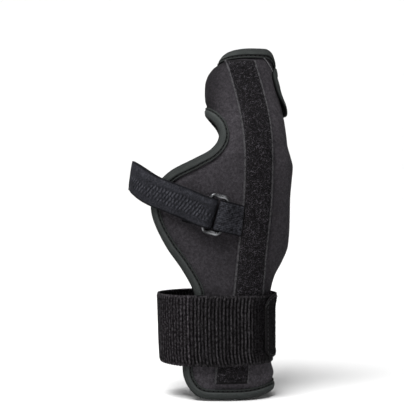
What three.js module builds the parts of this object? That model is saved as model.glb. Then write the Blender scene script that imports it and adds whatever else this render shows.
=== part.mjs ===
// A boxer fracture splint worn on a right hand: a padded gutter round the little finger's side of
// the wrist, the hand and the two outer fingers, with a bound edge, a stay cover and three fastenings.
// Millimetres. +Z points to the fingertips, -Y out of the back of the hand, +X to the little finger's
// side. The origin is on the forearm's axis, inside the wrist strap.
import * as THREE from "three";

// Driving dimensions
const CLEARANCE = 0.45; // gap between pieces that lie on each other
const SHELL_WALL = 3.5; // foam laminate
const SHELL_EDGE = 1.6; // the same wall, pinched under its binding
const PINCH_FROM = 6; // the wall is pinched up to here from an edge
const PINCH_TO = 9; // and has its whole thickness from here
const TAPE = 0.8; // binding tape, folded over an edge
const TAPE_GAP = 0.7; // between the tape and the edge in its fold
const TAPE_REACH = 4.2; // width of tape on each face
const TOP_TAPE_REACH = 5;
const COVER_WIDTH = 18.4; // loop-faced cover of the stay on the back of the hand
const COVER_RISE = 2.3; // its thickness in the middle
const COVER_HEM = 1.0; // and along its sewn sides
const COVER_HEM_WIDTH = 1.6;
const STRAP_WIDTH = 19.5; // hand strap
const STRAP = 1.6; // its thickness
const TAB = 1.2; // thickness of the ring tab's webbing
const WIRE = 2.8; // ring wire diameter
const RING_LONG = 26.4; // ring outside, along its bars
const RING_SHORT = 13.4; // ring outside, across its bars
const RING_CORNER = 2.4; // radius of the wire's centre line at a corner
const RING_X = -0.7; // the ring's place on the back of the hand
const RING_Z = 74.9;
const RING_TILT = 15; // degrees that the bars lean to the little finger's side
const FOLD_SLACK = 3.9; // reach of a fold's middle line past the bar that it holds
const RETURN_LENGTH = 14; // sewn return of the hand strap under itself
const WRIST_LOW = -21.5; // wrist strap's edges
const WRIST_HIGH = 23.2;
const ELASTIC = 1.5; // wrist strap's thickness between its ribs
const RIB = 0.4; // height of a rib
const RIB_PITCH = 3.4;
const WRIST_TAB = 1.2; // hook-faced end of the wrist strap
const WRIST_TAB_LOW = -19;
const WRIST_TAB_HIGH = 24;
const WRIST_TAB_CORNER = 7;
const FLAP = 0.8; // finger flap's thickness
const FLAP_TAPE = 0.5; // and its own tape's
const FLAP_TAPE_GAP = 0.5; // between the flap's edge and its tape
const FLAP_TAPE_REACH = 3.4;
const PALM_INSET = 6; // the palm panel's edge lies this far inside the dorsal one's
const FORM_POWER = 2.35; // roundness of a section: 2 is an ellipse

const table = (columns, rows) =>
  rows.map((row) => Object.fromEntries(columns.map((name, i) => [name, row[i]])));

// Sections of the hand's form, up the arm: where the middle of the shell's wall lies on each side.
const SECTIONS = table(
  ["z", "radial", "ulnar", "dorsal", "palmar"],
  [
    [-52, -34.5, 34.4, -21.4, 22.4],
    [-36, -35.6, 36.2, -21.8, 22.8],
    [-30, -36.2, 36.3, -21.9, 22.8],
    [-24, -36.8, 34.8, -22.0, 22.7],
    [-12, -37.6, 32.4, -22.0, 22.4],
    [12, -38.4, 32.4, -21.8, 22.0],
    [25, -39.0, 34.4, -21.6, 21.6],
    [35, -40.5, 37.2, -21.4, 21.2],
    [45, -43.5, 42.2, -21.4, 20.8],
    [54, -46.0, 45.6, -21.6, 20.4],
    [66, -48.8, 46.6, -22.0, 19.8],
    [84, -53.5, 47.0, -22.8, 18.6],
    [97, -55.6, 47.9, -23.2, 17.4],
    [105, -54.2, 48.5, -23.2, 16.6],
    [112, -46.5, 47.0, -22.4, 16.0],
    [119, -30.0, 45.2, -20.8, 15.6],
    [126, -16.0, 44.5, -18.6, 15.4],
    [134, -8.2, 43.5, -15.8, 15.6],
    [141, -6.2, 42.2, -13.0, 16.2],
    [150, -6.0, 40.5, -9.4, 17.8],
    [160, -5.4, 39.0, -5.6, 20.0],
    [165, -4.0, 38.4, -4.0, 21.4],
    [170, -0.8, 38.0, -2.4, 22.8],
    [177, 5.0, 37.5, 0.0, 25.0],
    [190, 9.5, 35.6, 4.6, 29.0],
  ],
);

// The dorsal panel's free edge in the front view, from the bottom hem up to the web of the fingers.
const EDGE = table(
  ["x", "z"],
  [
    [4, -41.4],
    [-9, -40.4],
    [-16.2, -34.6],
    [-19.4, -24],
    [-17.6, -6],
    [-12.8, 18],
    [-12.6, 26],
    [-20, 40],
    [-30.4, 55],
    [-37.6, 69],
    [-39.8, 80],
    [-37, 91],
    [-28, 100.6],
    [-12.6, 108.6],
    [-2.2, 114.6],
    [3.4, 122.5],
    [2.6, 131],
    [-1.4, 136.6],
  ],
);
const WEB = 140.4; // top of the arch that the edge makes between the fingers
const HEM_RISE = 3; // of the bottom hem, on the little finger's side
const HEM_LOW = -41.4;
const HEM_HIGH = -24; // up to which the cloth follows the hem

// How far the top edge lies under its highest point, round the fingers. Angle 0 is the little finger's
// side and 90 the back of the hand.
const TOP = 182;
const TOP_DROP = table(
  ["angle", "drop"],
  [
    [-180, 4.6],
    [-120, 5.6],
    [-60, 7.4],
    [-20, 8],
    [8, 6],
    [28, 1.7],
    [50, 0],
    [85, 0],
    [130, 1.2],
    [180, 4.6],
  ],
);

// Middle line of the stay cover in the front view.
const COVER = table(
  ["x", "z"],
  [
    [9.2, -33.2],
    [11, -16],
    [18.6, 20],
    [20.4, 34],
    [22.8, 56],
    [25, 77],
    [26.1, 97],
    [26.2, 115],
    [25.2, 131],
    [23, 145],
    [19.2, 162],
    [16.2, 174.6],
  ],
);

// Hand strap from the ring to the web of the thumb: the angle on the form, the height of its middle
// line, and how far its inner face lies from the middle of the shell's wall.
const HAND_STRAP = table(
  ["angle", "z", "lift"],
  [
    [96, 77.4, 5.2],
    [103, 80.8, 4.2],
    [111, 83.8, 3.9],
    [120, 86.8, 2.9],
    [129, 89.4, 2.7],
    [138, 92.5, 2.6],
    [149, 95.8, 0.8],
    [161, 98.4, -0.3],
    [180, 100, -0.3],
  ],
);
const PALM_ANCHOR = table(
  ["angle", "z", "lift"],
  [
    [-103, 80.8, 2.2],
    [-96, 77.6, 2.2],
    [-92, 75.6, 2.2],
  ],
);

// Inner face of the wrist strap round the wrist, from the middle of the shell's wall. It climbs over
// the stay cover and the bound edges, and sinks onto the bare wrist between them.
const WRIST_RISE = table(
  ["angle", "lift"],
  [
    [0, 2.2],
    [14, 2.4],
    [38, 5],
    [92, 5],
    [102, 3.4],
    [118, 3.1],
    [127, 2.1],
    [138, 0.5],
    [150, -0.7],
    [165, -1.4],
    [180, -1.5],
    [196, -1.4],
    [212, -0.7],
    [224, 0.5],
    [237, 2.1],
    [248, 3.1],
    [268, 3.1],
    [280, 2.4],
    [360, 2.2],
  ],
);
const WRIST_START = 0; // degrees: the elastic closes on itself under the tab
const WRIST_END = 360;
const WRIST_TAB_FROM = -46;
const WRIST_TAB_TO = 38;

// Slanted end of the finger flap on the little finger's side, and the angle where it is sewn on.
const FLAP_ROOT = -72;
const FLAP_END = table(
  ["z", "angle"],
  [
    [139.8, -8],
    [143.2, 6],
    [147.8, 16.5],
    [153, 22],
    [158.5, 25.5],
    [163.5, 27],
    [167.2, 25],
    [169.6, 19.5],
    [170.2, 13],
  ],
);
const FLAP_LOW = 139.8;
const FLAP_NARROWS = 0.87; // its height where it is sewn on, as a share of its end's

const COLOURS = {
  shell: 0x37333a,
  binding: 0x3b3f3d,
  pile: 0x232124,
  webbing: 0x2a2c30,
  elastic: 0x262428,
  ring: 0x1b1b1d,
};
const cloth = (colour) => new THREE.MeshStandardMaterial({ color: colour, roughness: 0.95, metalness: 0 });
const FABRIC = Object.fromEntries(Object.entries(COLOURS).map(([name, colour]) => [name, cloth(colour)]));
FABRIC.ring = new THREE.MeshStandardMaterial({ color: COLOURS.ring, roughness: 0.25, metalness: 0.1 });

const { degToRad, clamp, lerp, smoothstep } = THREE.MathUtils;

// A smooth line through a table's rows that doesn't overshoot them: a monotone cubic.
function track(rows, at, value) {
  const x = rows.map((row) => row[at]);
  const y = rows.map((row) => row[value]);
  const slope = x.slice(1).map((right, i) => (y[i + 1] - y[i]) / (right - x[i]));
  const lean = x.map((_, i) => {
    const before = slope[Math.max(i - 1, 0)];
    const after = slope[Math.min(i, slope.length - 1)];
    return before * after <= 0 ? 0 : (2 * before * after) / (before + after);
  });
  return (v) => {
    const i = clamp(x.findLastIndex((left) => left <= v), 0, x.length - 2);
    const width = x[i + 1] - x[i];
    const t = clamp((v - x[i]) / width, 0, 1);
    const back = 1 - t;
    const ends = y[i] * (1 + 2 * t) * back * back + y[i + 1] * (1 + 2 * back) * t * t;
    return ends + width * t * back * (lean[i] * back - lean[i + 1] * t);
  };
}

// The hand's form
const SIDES = ["radial", "ulnar", "dorsal", "palmar"];
const side = Object.fromEntries(SIDES.map((name) => [name, track(SECTIONS, "z", name)]));

function sectionAt(z) {
  const [radial, ulnar, dorsal, palmar] = SIDES.map((name) => side[name](z));
  return {
    x: (radial + ulnar) / 2,
    y: (dorsal + palmar) / 2,
    halfX: (ulnar - radial) / 2,
    halfY: (palmar - dorsal) / 2,
  };
}

const signedPower = (v, power) => Math.sign(v) * Math.abs(v) ** power;

function onForm(degrees, z) {
  const s = sectionAt(z);
  const angle = degToRad(degrees);
  return new THREE.Vector3(
    s.x + s.halfX * signedPower(Math.cos(angle), 2 / FORM_POWER),
    s.y - s.halfY * signedPower(Math.sin(angle), 2 / FORM_POWER),
    z,
  );
}

// The dorsal angle, in degrees, where the form has this x.
function angleAt(x, z) {
  const s = sectionAt(z);
  const across = clamp((x - s.x) / s.halfX, -1, 1);
  return THREE.MathUtils.radToDeg(Math.acos(signedPower(across, FORM_POWER / 2)));
}

const onDorsal = (x, z) => onForm(angleAt(x, z), z);

// 0 on the form, positive outside it.
function level(p) {
  const s = sectionAt(p.z);
  return Math.abs((p.x - s.x) / s.halfX) ** FORM_POWER + Math.abs((p.y - s.y) / s.halfY) ** FORM_POWER - 1;
}

const PROBE = 0.05;
function gradient(p) {
  const along = (axis) => {
    const step = new THREE.Vector3().setComponent(axis, PROBE);
    return (level(p.clone().add(step)) - level(p.clone().sub(step))) / (2 * PROBE);
  };
  return new THREE.Vector3(along(0), along(1), along(2));
}

const outward = (p) => gradient(p).normalize();

// The point of the form next to p.
function settle(p) {
  const q = p.clone();
  for (let round = 0; round < 4; round++) {
    const g = gradient(q);
    q.addScaledVector(g, -level(q) / g.lengthSq());
  }
  return q;
}

const raised = (p, lift) => p.clone().addScaledVector(outward(p), lift);
const laid = (p, lift) => raised(settle(p), lift);

// Angles from first to last, with equal steps along the form at height z.
function spacedAngles(first, last, z, steps) {
  const fine = 240;
  const at = (k) => lerp(first, last, k / fine);
  const run = [0];
  for (let k = 1; k <= fine; k++) {
    run.push(run[k - 1] + onForm(at(k), z).distanceTo(onForm(at(k - 1), z)));
  }
  return Array.from({ length: steps + 1 }, (_, i) => {
    const wanted = (run[fine] * i) / steps;
    const k = Math.max(run.findIndex((length) => length >= wanted * (1 - Number.EPSILON * fine)), 1);
    return at(k - 1 + (wanted - run[k - 1]) / (run[k] - run[k - 1]));
  });
}

// A closed wall over a grid of points. Points that coincide are welded, so a grid may close on itself.
// low and high are the distances of the wall's two faces from the grid, along the grid's own normals.
function wall(grid, low, high) {
  const points = [];
  const lows = [];
  const highs = [];
  const ids = new Map();
  const idOf = (p, row, column) => {
    const key = p.toArray().map((v) => Math.round(v * 1000)).join();
    if (!ids.has(key)) {
      ids.set(key, points.length);
      points.push(p);
      lows.push(typeof low === "function" ? low(p, row, column) : low);
      highs.push(typeof high === "function" ? high(p, row, column) : high);
    }
    return ids.get(key);
  };
  const mesh = grid.map((line, row) => line.map((p, column) => idOf(p, row, column)));
  const faces = [];
  for (let r = 0; r + 1 < mesh.length; r++) {
    for (let c = 0; c + 1 < mesh[r].length; c++) {
      const [a, b, d, e] = [mesh[r][c], mesh[r][c + 1], mesh[r + 1][c + 1], mesh[r + 1][c]];
      faces.push([a, b, d], [a, d, e]);
    }
  }
  const sound = faces.filter(([a, b, c]) => a !== b && b !== c && a !== c);
  const normals = points.map(() => new THREE.Vector3());
  const edges = new Map();
  for (const [a, b, c] of sound) {
    const turn = points[b].clone().sub(points[a]).cross(points[c].clone().sub(points[a]));
    for (const [from, to] of [[a, b], [b, c], [c, a]]) {
      normals[from].add(turn);
      edges.set(`${from},${to}`, [from, to]);
    }
  }
  const count = points.length;
  const outer = points.map((p, i) => p.clone().addScaledVector(normals[i].normalize(), highs[i]));
  const inner = points.map((p, i) => p.clone().addScaledVector(normals[i], lows[i]));
  const triangles = sound.flatMap(([a, b, c]) => [a, b, c, count + a, count + c, count + b]);
  for (const [from, to] of edges.values()) {
    if (!edges.has(`${to},${from}`)) {
      triangles.push(to, from, count + from, to, count + from, count + to);
    }
  }
  const geometry = new THREE.BufferGeometry().setFromPoints([...outer, ...inner]);
  return geometry.setIndex(triangles);
}

// Shell: rows up the arm, each running from the dorsal edge round the little finger's side to the palm
const OUTLINE_STEPS = 29;
const ARCH_STEPS = 4;
const EDGE_STEPS = OUTLINE_STEPS + ARCH_STEPS;
const AROUND_STEPS = 28;
const TUBE_ROWS = 7;

function shellGrid() {
  const outline = new THREE.SplineCurve(EDGE.map(({ x, z }) => new THREE.Vector2(x, z)));
  const ends = outline.getSpacedPoints(OUTLINE_STEPS).map(({ x, y: z }) => {
    const inset = PALM_INSET * smoothstep(WEB - z, 4, 40);
    return { z, dorsal: angleAt(x, z), palmar: angleAt(x + inset, z) };
  });
  const under = ends.at(-1);
  for (let k = 1; k <= ARCH_STEPS; k++) {
    const angle = lerp(under.dorsal, 180, k / ARCH_STEPS);
    const z = lerp(under.z, WEB, Math.sin(((k / ARCH_STEPS) * Math.PI) / 2));
    ends.push({ z, dorsal: angle, palmar: angle });
  }
  const rise = (angle, z) =>
    HEM_RISE * (1 - smoothstep(Math.abs(angle), 8, 70)) * (1 - smoothstep(z, HEM_LOW, HEM_HIGH));
  const rows = ends.map(({ z, dorsal, palmar }) =>
    spacedAngles(dorsal, -palmar, z, AROUND_STEPS).map((angle) => onForm(angle, z + rise(angle, z))),
  );
  const drop = track(TOP_DROP, "angle", "drop");
  const around = spacedAngles(180, -180, WEB, AROUND_STEPS);
  for (let k = 1; k <= TUBE_ROWS; k++) {
    rows.push(around.map((angle) => onForm(angle, lerp(WEB, TOP - drop(angle), k / TUBE_ROWS))));
  }
  return rows;
}

const SHELL = shellGrid();
const LAST = AROUND_STEPS;
const LOWER_EDGE = [
  ...SHELL[0],
  ...SHELL.slice(1, EDGE_STEPS + 1).map((row) => row[LAST]),
  ...SHELL.slice(0, EDGE_STEPS).map((row) => row[0]).reverse(),
];
const UPPER_EDGE = SHELL.at(-1).toReversed();

function distanceToPath(p, path) {
  const nearest = new THREE.Vector3();
  const segment = new THREE.Line3();
  const distances = path.slice(1).map((end, i) => {
    segment.set(path[i], end).closestPointToPoint(p, true, nearest);
    return nearest.distanceTo(p);
  });
  return Math.min(...distances);
}

function shell() {
  const half = (p) => {
    const fromEdge = Math.min(distanceToPath(p, LOWER_EDGE), distanceToPath(p, UPPER_EDGE));
    return lerp(SHELL_EDGE, SHELL_WALL, smoothstep(fromEdge, PINCH_FROM, PINCH_TO)) / 2;
  };
  return wall(SHELL, (p) => -half(p), half);
}

// Binding: a tape folded over an edge. The path runs with the sheet on its left, seen from outside, and
// ways holds the directions out of the sheet along it. The sheet's lift is from the form.
function binding(path, ways, reach, { thickness, tape, gap, lift }) {
  const fold = thickness / 2 + gap + tape / 2;
  const stations = path.map((p, i) => {
    const leg = (inwards, height) => laid(p.clone().addScaledVector(ways[i], -inwards), lift + height);
    const nose = raised(p, lift).addScaledVector(ways[i], fold);
    return [leg(reach, fold), leg(0, fold), nose, leg(0, -fold), leg(reach, -fold)];
  });
  return wall(stations, -tape / 2, tape / 2);
}

// Directions out of a sheet, square to its edge.
function squareWays(path) {
  const last = path.length - 1;
  const closed = path[0].distanceTo(path[last]) < PROBE;
  return path.map((p, i) => {
    const before = path[i > 0 ? i - 1 : closed ? last - 1 : 0];
    const after = path[i < last ? i + 1 : closed ? 1 : last];
    return after.clone().sub(before).cross(outward(p)).normalize();
  });
}

// Directions out of the sleeve at its top, in line with its columns.
const columnWays = () => UPPER_EDGE.map((p, i) => p.clone().sub(SHELL.at(-2).at(-1 - i)).normalize());

// Stay cover
const COVER_STATIONS = 32;
const coverLine = new THREE.SplineCurve(COVER.map(({ x, z }) => new THREE.Vector2(x, z)));

// A point of the form under the cover, across its width at one of its level stations.
function underCover(t, across) {
  const at = coverLine.getPointAt(t);
  const run = coverLine.getTangentAt(t);
  return onDorsal(at.x + across / run.y, at.y);
}

function stayCover() {
  const edge = COVER_WIDTH / 2;
  const hem = edge - COVER_HEM_WIDTH;
  const across = [-edge, -hem, 1.5 - hem, 0, hem - 1.5, hem, edge];
  const grid = Array.from({ length: COVER_STATIONS + 1 }, (_, i) =>
    across.map((offset) => underCover(i / COVER_STATIONS, offset)),
  );
  const base = SHELL_WALL / 2 + CLEARANCE;
  const rise = (_, row, column) => {
    const end = row === 0 || row === COVER_STATIONS;
    const middle = column > 1 && column < across.length - 2 && !end;
    return base + (middle ? COVER_RISE : COVER_HEM);
  };
  return wall(grid, base, rise);
}

// Ring, and the frame that it sits in: run points along the strap to the thumb, bar along the ring's
// bars and up out of the hand.
const FOLD_HALF = WIRE / 2 + CLEARANCE + STRAP / 2;
const TAB_FOLD_HALF = WIRE / 2 + CLEARANCE + TAB / 2;
const RING_SEAT = onDorsal(RING_X, RING_Z);
const RING_LIFT = SHELL_WALL / 2 + CLEARANCE + STRAP / 2 + FOLD_HALF;
const BAR_OFFSET = (RING_SHORT - WIRE) / 2;
const ringUp = outward(RING_SEAT);
const lean = degToRad(RING_TILT);
const ringRun = new THREE.Vector3(-Math.cos(lean), 0, Math.sin(lean));
ringRun.addScaledVector(ringUp, -ringRun.dot(ringUp)).normalize();
const ringBar = ringUp.clone().cross(ringRun);
const ringCentre = raised(RING_SEAT, RING_LIFT);
const inRing = (run, bar, up) =>
  ringCentre.clone().addScaledVector(ringRun, run).addScaledVector(ringBar, bar).addScaledVector(ringUp, up);

function ring() {
  const sides = 8;
  const turns = 16;
  const wire = new THREE.TorusGeometry(RING_CORNER, WIRE / 2, sides, turns).rotateZ(Math.PI / turns);
  const outside = new THREE.Vector2(RING_SHORT, RING_LONG);
  const reach = outside.subScalar(WIRE).divideScalar(2).subScalar(RING_CORNER);
  const position = wire.getAttribute("position");
  const p = new THREE.Vector3();
  for (let i = 0; i < position.count; i++) {
    p.fromBufferAttribute(position, i);
    const placed = inRing(p.x + Math.sign(p.x) * reach.x, p.y + Math.sign(p.y) * reach.y, p.z);
    position.setXYZ(i, ...placed);
  }
  return wire;
}

// Middle line of a fold round a ring bar, as steps of (run, up) from under the bar to over it. The side
// is 1 for the strap's bar and -1 for the tab's.
function foldSteps(which, half) {
  const steps = 6;
  return Array.from({ length: steps + 1 }, (_, i) => {
    const turn = Math.PI * (i / steps - 0.5);
    return [which * (BAR_OFFSET - FOLD_SLACK * Math.cos(turn)), half * Math.sin(turn)];
  });
}

// Hand strap: from the sewn return under itself, round the ring's bar, over the back of the hand,
// through the web of the thumb and across the palm to the palm panel
const STRAP_ACROSS = [-1 / 2, -1 / 6, 1 / 6, 1 / 2].map((share) => share * STRAP_WIDTH);
const STRAP_STRAIGHT = 0.8; // how far it keeps straight across, where it turns round the hand

function handStrap() {
  const lowLift = SHELL_WALL / 2 + CLEARANCE + STRAP / 2;
  const underneath = [1, 0.5, 0].map((share) => {
    const run = BAR_OFFSET + share * RETURN_LENGTH;
    return STRAP_ACROSS.map((bar) => laid(inRing(run, bar, -RING_LIFT), lowLift));
  });
  const turns = foldSteps(1, FOLD_HALF).slice(1);
  const fold = turns.map(([run, up]) => STRAP_ACROSS.map((bar) => inRing(run, bar, up)));
  const outOf = inRing(turns.at(-1)[0], 0, turns.at(-1)[1]);
  const doubled = HAND_STRAP.slice(2, -1).reverse();
  const mirrored = doubled.map(({ angle, z, lift }) => ({ angle: 360 - angle, z, lift }));
  const anchor = PALM_ANCHOR.map(({ angle, z, lift }) => ({ angle: 360 + angle, z, lift }));
  const route = [...HAND_STRAP, ...mirrored, ...anchor];
  const line = new THREE.CatmullRomCurve3(
    [outOf, ...route.map(({ angle, z, lift }) => raised(onForm(angle, z), lift + STRAP / 2))],
    false,
    "centripetal",
  );
  const steps = 40;
  const over = Array.from({ length: steps }, (_, i) => {
    const t = (i + 1) / steps;
    const middle = line.getPointAt(t);
    const up = outward(middle);
    const across = up.clone().cross(line.getTangentAt(t)).normalize();
    const lift = middle.distanceTo(settle(middle)) * Math.sign(level(middle));
    const straight = STRAP_STRAIGHT * smoothstep(-middle.x, 42, 52);
    return STRAP_ACROSS.map((bar) => {
      const p = middle.clone().addScaledVector(across, bar);
      return laid(p, lift).lerp(p, straight);
    });
  });
  return wall([...underneath, ...fold, ...over], -STRAP / 2, STRAP / 2);
}

// Ring tab: a short web from the stay cover round the ring's other bar and back
function ringTab() {
  const across = [-1 / 2, 0, 1 / 2].map((share) => share * STRAP_WIDTH);
  const low = SHELL_WALL / 2 + CLEARANCE + TAB / 2;
  const coverAt = (bar) => {
    const guess = inRing(-BAR_OFFSET, bar, 0).z;
    const t = coverTimeAt(guess);
    const edge = underCover(t, -COVER_WIDTH / 2);
    return edge.sub(ringCentre).dot(ringRun) + CLEARANCE;
  };
  const layer = (lift, share) =>
    across.map((bar) => laid(inRing(lerp(coverAt(bar), -BAR_OFFSET, share), bar, -RING_LIFT), lift));
  const fold = foldSteps(-1, TAB_FOLD_HALF).map(([run, up]) => across.map((bar) => inRing(run, bar, up)));
  const high = low + TAB + CLEARANCE;
  const sloping = lerp(high, RING_LIFT + TAB_FOLD_HALF, 0.35);
  const grid = [layer(low, 0), layer(low, 0.5), ...fold, layer(sloping, 0.5), layer(high, 0)];
  return wall(grid, -TAB / 2, TAB / 2);
}

// Where along the cover's middle line it has this height.
function coverTimeAt(z) {
  let [low, high] = [0, 1];
  for (let round = 0; round < 30; round++) {
    const middle = (low + high) / 2;
    if (coverLine.getPointAt(middle).y < z) low = middle;
    else high = middle;
  }
  return low;
}

// Wrist strap: ribbed elastic, and its hook-faced end lying over both of its ends
const wristRise = track(WRIST_RISE, "angle", "lift");
const turned = (angle) => ((angle % 360) + 360) % 360;

function wristStrap() {
  const round = spacedAngles(WRIST_START, WRIST_END, 0, 400).map((angle) => onForm(angle, 0));
  const length = round.slice(1).reduce((sum, p, i) => sum + p.distanceTo(round[i]), 0);
  const steps = 2 * Math.round(length / RIB_PITCH);
  const angles = spacedAngles(WRIST_START, WRIST_END, 0, steps);
  const heights = [0, 0.5, 1].map((share) => lerp(WRIST_LOW, WRIST_HIGH, share));
  const grid = heights.map((z) => {
    return angles.map((angle) => raised(onForm(angle, z), wristRise(angle))).reverse();
  });
  return wall(grid, 0, (_, row, column) => ELASTIC + (column % 2 ? RIB : 0));
}

function wristTab() {
  const angles = spacedAngles(WRIST_TAB_TO, WRIST_TAB_FROM, 0, 18);
  const rows = 5;
  const middle = (WRIST_TAB_LOW + WRIST_TAB_HIGH) / 2;
  const half = (WRIST_TAB_HIGH - WRIST_TAB_LOW) / 2;
  const first = onForm(WRIST_TAB_TO, 0);
  const grid = Array.from({ length: rows + 1 }, (_, row) => {
    return angles.map((angle) => {
      const past = clamp(1 - onForm(angle, 0).distanceTo(first) / WRIST_TAB_CORNER, 0, 1);
      const inset = WRIST_TAB_CORNER * (1 - Math.sqrt(1 - past * past));
      const z = middle + (half - inset) * ((2 * row) / rows - 1);
      const lift = wristRise(turned(angle)) + ELASTIC + RIB + 2.3 * CLEARANCE;
      return raised(onForm(angle, z), lift);
    });
  });
  return wall(grid, 0, WRIST_TAB);
}

// Finger flap, from the palm side round the little finger's side, and the tape on its free edges
const FLAP_COLUMNS = 10;
const FLAP_TAPED = 7; // columns up to which its long edges have tape
const FLAP_ROWS = 9;
const FLAP_ROOT_LIFT = SHELL_WALL / 2 + CLEARANCE + FLAP / 2;
const FLAP_LIFT = FLAP_ROOT_LIFT + FLAP_TAPE + FLAP_TAPE_GAP;

function flapGrid() {
  const perDegree = 0.25; // of arc, on the form at the flap's end
  const end = new THREE.SplineCurve(FLAP_END.map(({ z, angle }) => new THREE.Vector2(angle * perDegree, z)));
  return end.getSpacedPoints(FLAP_ROWS).map(({ x, y: z }) => {
    const rootZ = lerp(FLAP_LOW, z, FLAP_NARROWS);
    const heightAt = (share) => lerp(rootZ, z, (1 - share) ** 5);
    const angles = spacedAngles(x / perDegree, FLAP_ROOT, z, FLAP_COLUMNS);
    return angles.map((angle, column) => onForm(angle, heightAt(column / FLAP_COLUMNS)));
  });
}

const FLAP_GRID = flapGrid();
const FLAP_EDGE = [
  ...FLAP_GRID.at(-1).slice(1, FLAP_TAPED + 1).reverse(),
  ...FLAP_GRID.map((row) => row[0]).reverse(),
  ...FLAP_GRID[0].slice(1, FLAP_TAPED + 1),
];

// The flap comes down onto the shell where it is sewn on.
function fingerFlap() {
  const lift = (column) => lerp(FLAP_LIFT, FLAP_ROOT_LIFT, smoothstep(column, FLAP_TAPED, FLAP_COLUMNS));
  const low = (_, row, column) => lift(column) - FLAP / 2;
  return wall(FLAP_GRID, low, (_, row, column) => lift(column) + FLAP / 2);
}

// Assembly
function piece(name, geometry, material) {
  const mesh = new THREE.Mesh(geometry, material);
  mesh.name = name;
  return mesh;
}

const shellEdge = { thickness: SHELL_EDGE, tape: TAPE, gap: TAPE_GAP, lift: 0 };
const flapEdge = { thickness: FLAP, tape: FLAP_TAPE, gap: FLAP_TAPE_GAP, lift: FLAP_LIFT };
const edgeBinding = binding(LOWER_EDGE, squareWays(LOWER_EDGE), TAPE_REACH, shellEdge);
const topBinding = binding(UPPER_EDGE, columnWays(), TOP_TAPE_REACH, shellEdge);
const flapBinding = binding(FLAP_EDGE, squareWays(FLAP_EDGE), FLAP_TAPE_REACH, flapEdge);

const splint = new THREE.Group();
splint.add(
  piece("shell", shell(), FABRIC.shell),
  piece("edge_binding", edgeBinding, FABRIC.binding),
  piece("top_binding", topBinding, FABRIC.binding),
  piece("stay_cover", stayCover(), FABRIC.pile),
  piece("ring_tab", ringTab(), FABRIC.webbing),
  piece("ring", ring(), FABRIC.ring),
  piece("hand_strap", handStrap(), FABRIC.webbing),
  piece("wrist_strap", wristStrap(), FABRIC.elastic),
  piece("wrist_tab", wristTab(), FABRIC.elastic),
  piece("finger_flap", fingerFlap(), FABRIC.shell),
  piece("flap_binding", flapBinding, FABRIC.binding),
);

export default splint;
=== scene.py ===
import math

import bmesh
import bpy
import numpy as np
from mathutils import Matrix, Vector, kdtree, noise


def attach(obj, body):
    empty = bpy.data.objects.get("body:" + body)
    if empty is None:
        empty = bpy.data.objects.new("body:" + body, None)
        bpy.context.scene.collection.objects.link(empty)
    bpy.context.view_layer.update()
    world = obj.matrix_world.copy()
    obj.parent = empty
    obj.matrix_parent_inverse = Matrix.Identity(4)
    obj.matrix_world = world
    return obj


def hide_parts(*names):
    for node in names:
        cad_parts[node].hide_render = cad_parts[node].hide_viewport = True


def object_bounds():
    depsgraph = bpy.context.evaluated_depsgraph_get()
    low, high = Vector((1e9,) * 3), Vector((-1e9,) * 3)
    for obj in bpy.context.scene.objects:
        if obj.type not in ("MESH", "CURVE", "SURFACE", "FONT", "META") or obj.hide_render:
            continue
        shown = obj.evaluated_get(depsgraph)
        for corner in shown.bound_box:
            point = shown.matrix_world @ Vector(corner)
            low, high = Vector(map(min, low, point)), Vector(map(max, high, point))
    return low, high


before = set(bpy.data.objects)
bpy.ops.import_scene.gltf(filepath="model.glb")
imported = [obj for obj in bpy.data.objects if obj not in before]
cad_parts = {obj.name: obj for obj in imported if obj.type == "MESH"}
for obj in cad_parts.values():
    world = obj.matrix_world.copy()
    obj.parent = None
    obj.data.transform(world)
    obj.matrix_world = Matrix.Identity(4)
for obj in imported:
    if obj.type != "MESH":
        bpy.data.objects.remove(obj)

# A boxer fracture splint in its cloth: a padded gutter with bound edges, a looped stay cover, a hand
# strap on a ring, a ribbed wrist strap and a finger flap. Sizes are in millimetres until a mesh is made.
CAD_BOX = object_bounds()
MM = 0.001

# Dimensions: the solids' own, or close to them where cloth is pinched, folded or ribbed
CLEARANCE = 0.45
SHELL_WALL = 3.5
SHELL_EDGE = 1.6
PINCH_FROM = 5.2
PINCH_TO = 9.0
TAPE = 0.8
TAPE_GAP = 0.7
TAPE_REACH = 4.2
TOP_TAPE_REACH = 5.0
COVER_WIDTH = 18.4
COVER_RISE = 2.3
COVER_HEM = 1.0
COVER_HEM_WIDTH = 1.6
STRAP_WIDTH = 19.5
STRAP = 1.6
TAB = 1.2
WIRE = 2.8
RING_LONG = 26.4
RING_SHORT = 13.4
RING_CORNER = 2.4
RING_X = -0.7
RING_Z = 74.9
RING_TILT = 15.0
FOLD_SLACK = 3.95
RETURN_LENGTH = 14.0
WRIST_LOW = -21.5
WRIST_HIGH = 23.2
ELASTIC = 1.5
RIB = 0.45
WRIST_TAB = 1.2
WRIST_TAB_LOW = -19.0
WRIST_TAB_HIGH = 24.0
WRIST_TAB_CORNER = 7.0
WRIST_TAB_FROM = -46.0
WRIST_TAB_TO = 38.0
FLAP = 0.8
FLAP_TAPE = 0.5
FLAP_TAPE_GAP = 0.4
FLAP_TAPE_REACH = 3.4
FLAP_ROOT = -72.0
FLAP_ROOT_LIFT = SHELL_WALL / 2 + CLEARANCE + FLAP / 2
FLAP_LIFT = 2.85  # pressed to the sleeve
FLAP_CORNER_LIFT = 1.1  # more, at its lower corner
PALM_INSET = 6.0
FORM_POWER = 2.35
WEB = 140.4
TOP = 182.0
HEM_RISE = 3.0
HEM_LOW = -41.4
HEM_HIGH = -24.0
STRAP_STRAIGHT = 0.8

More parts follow.
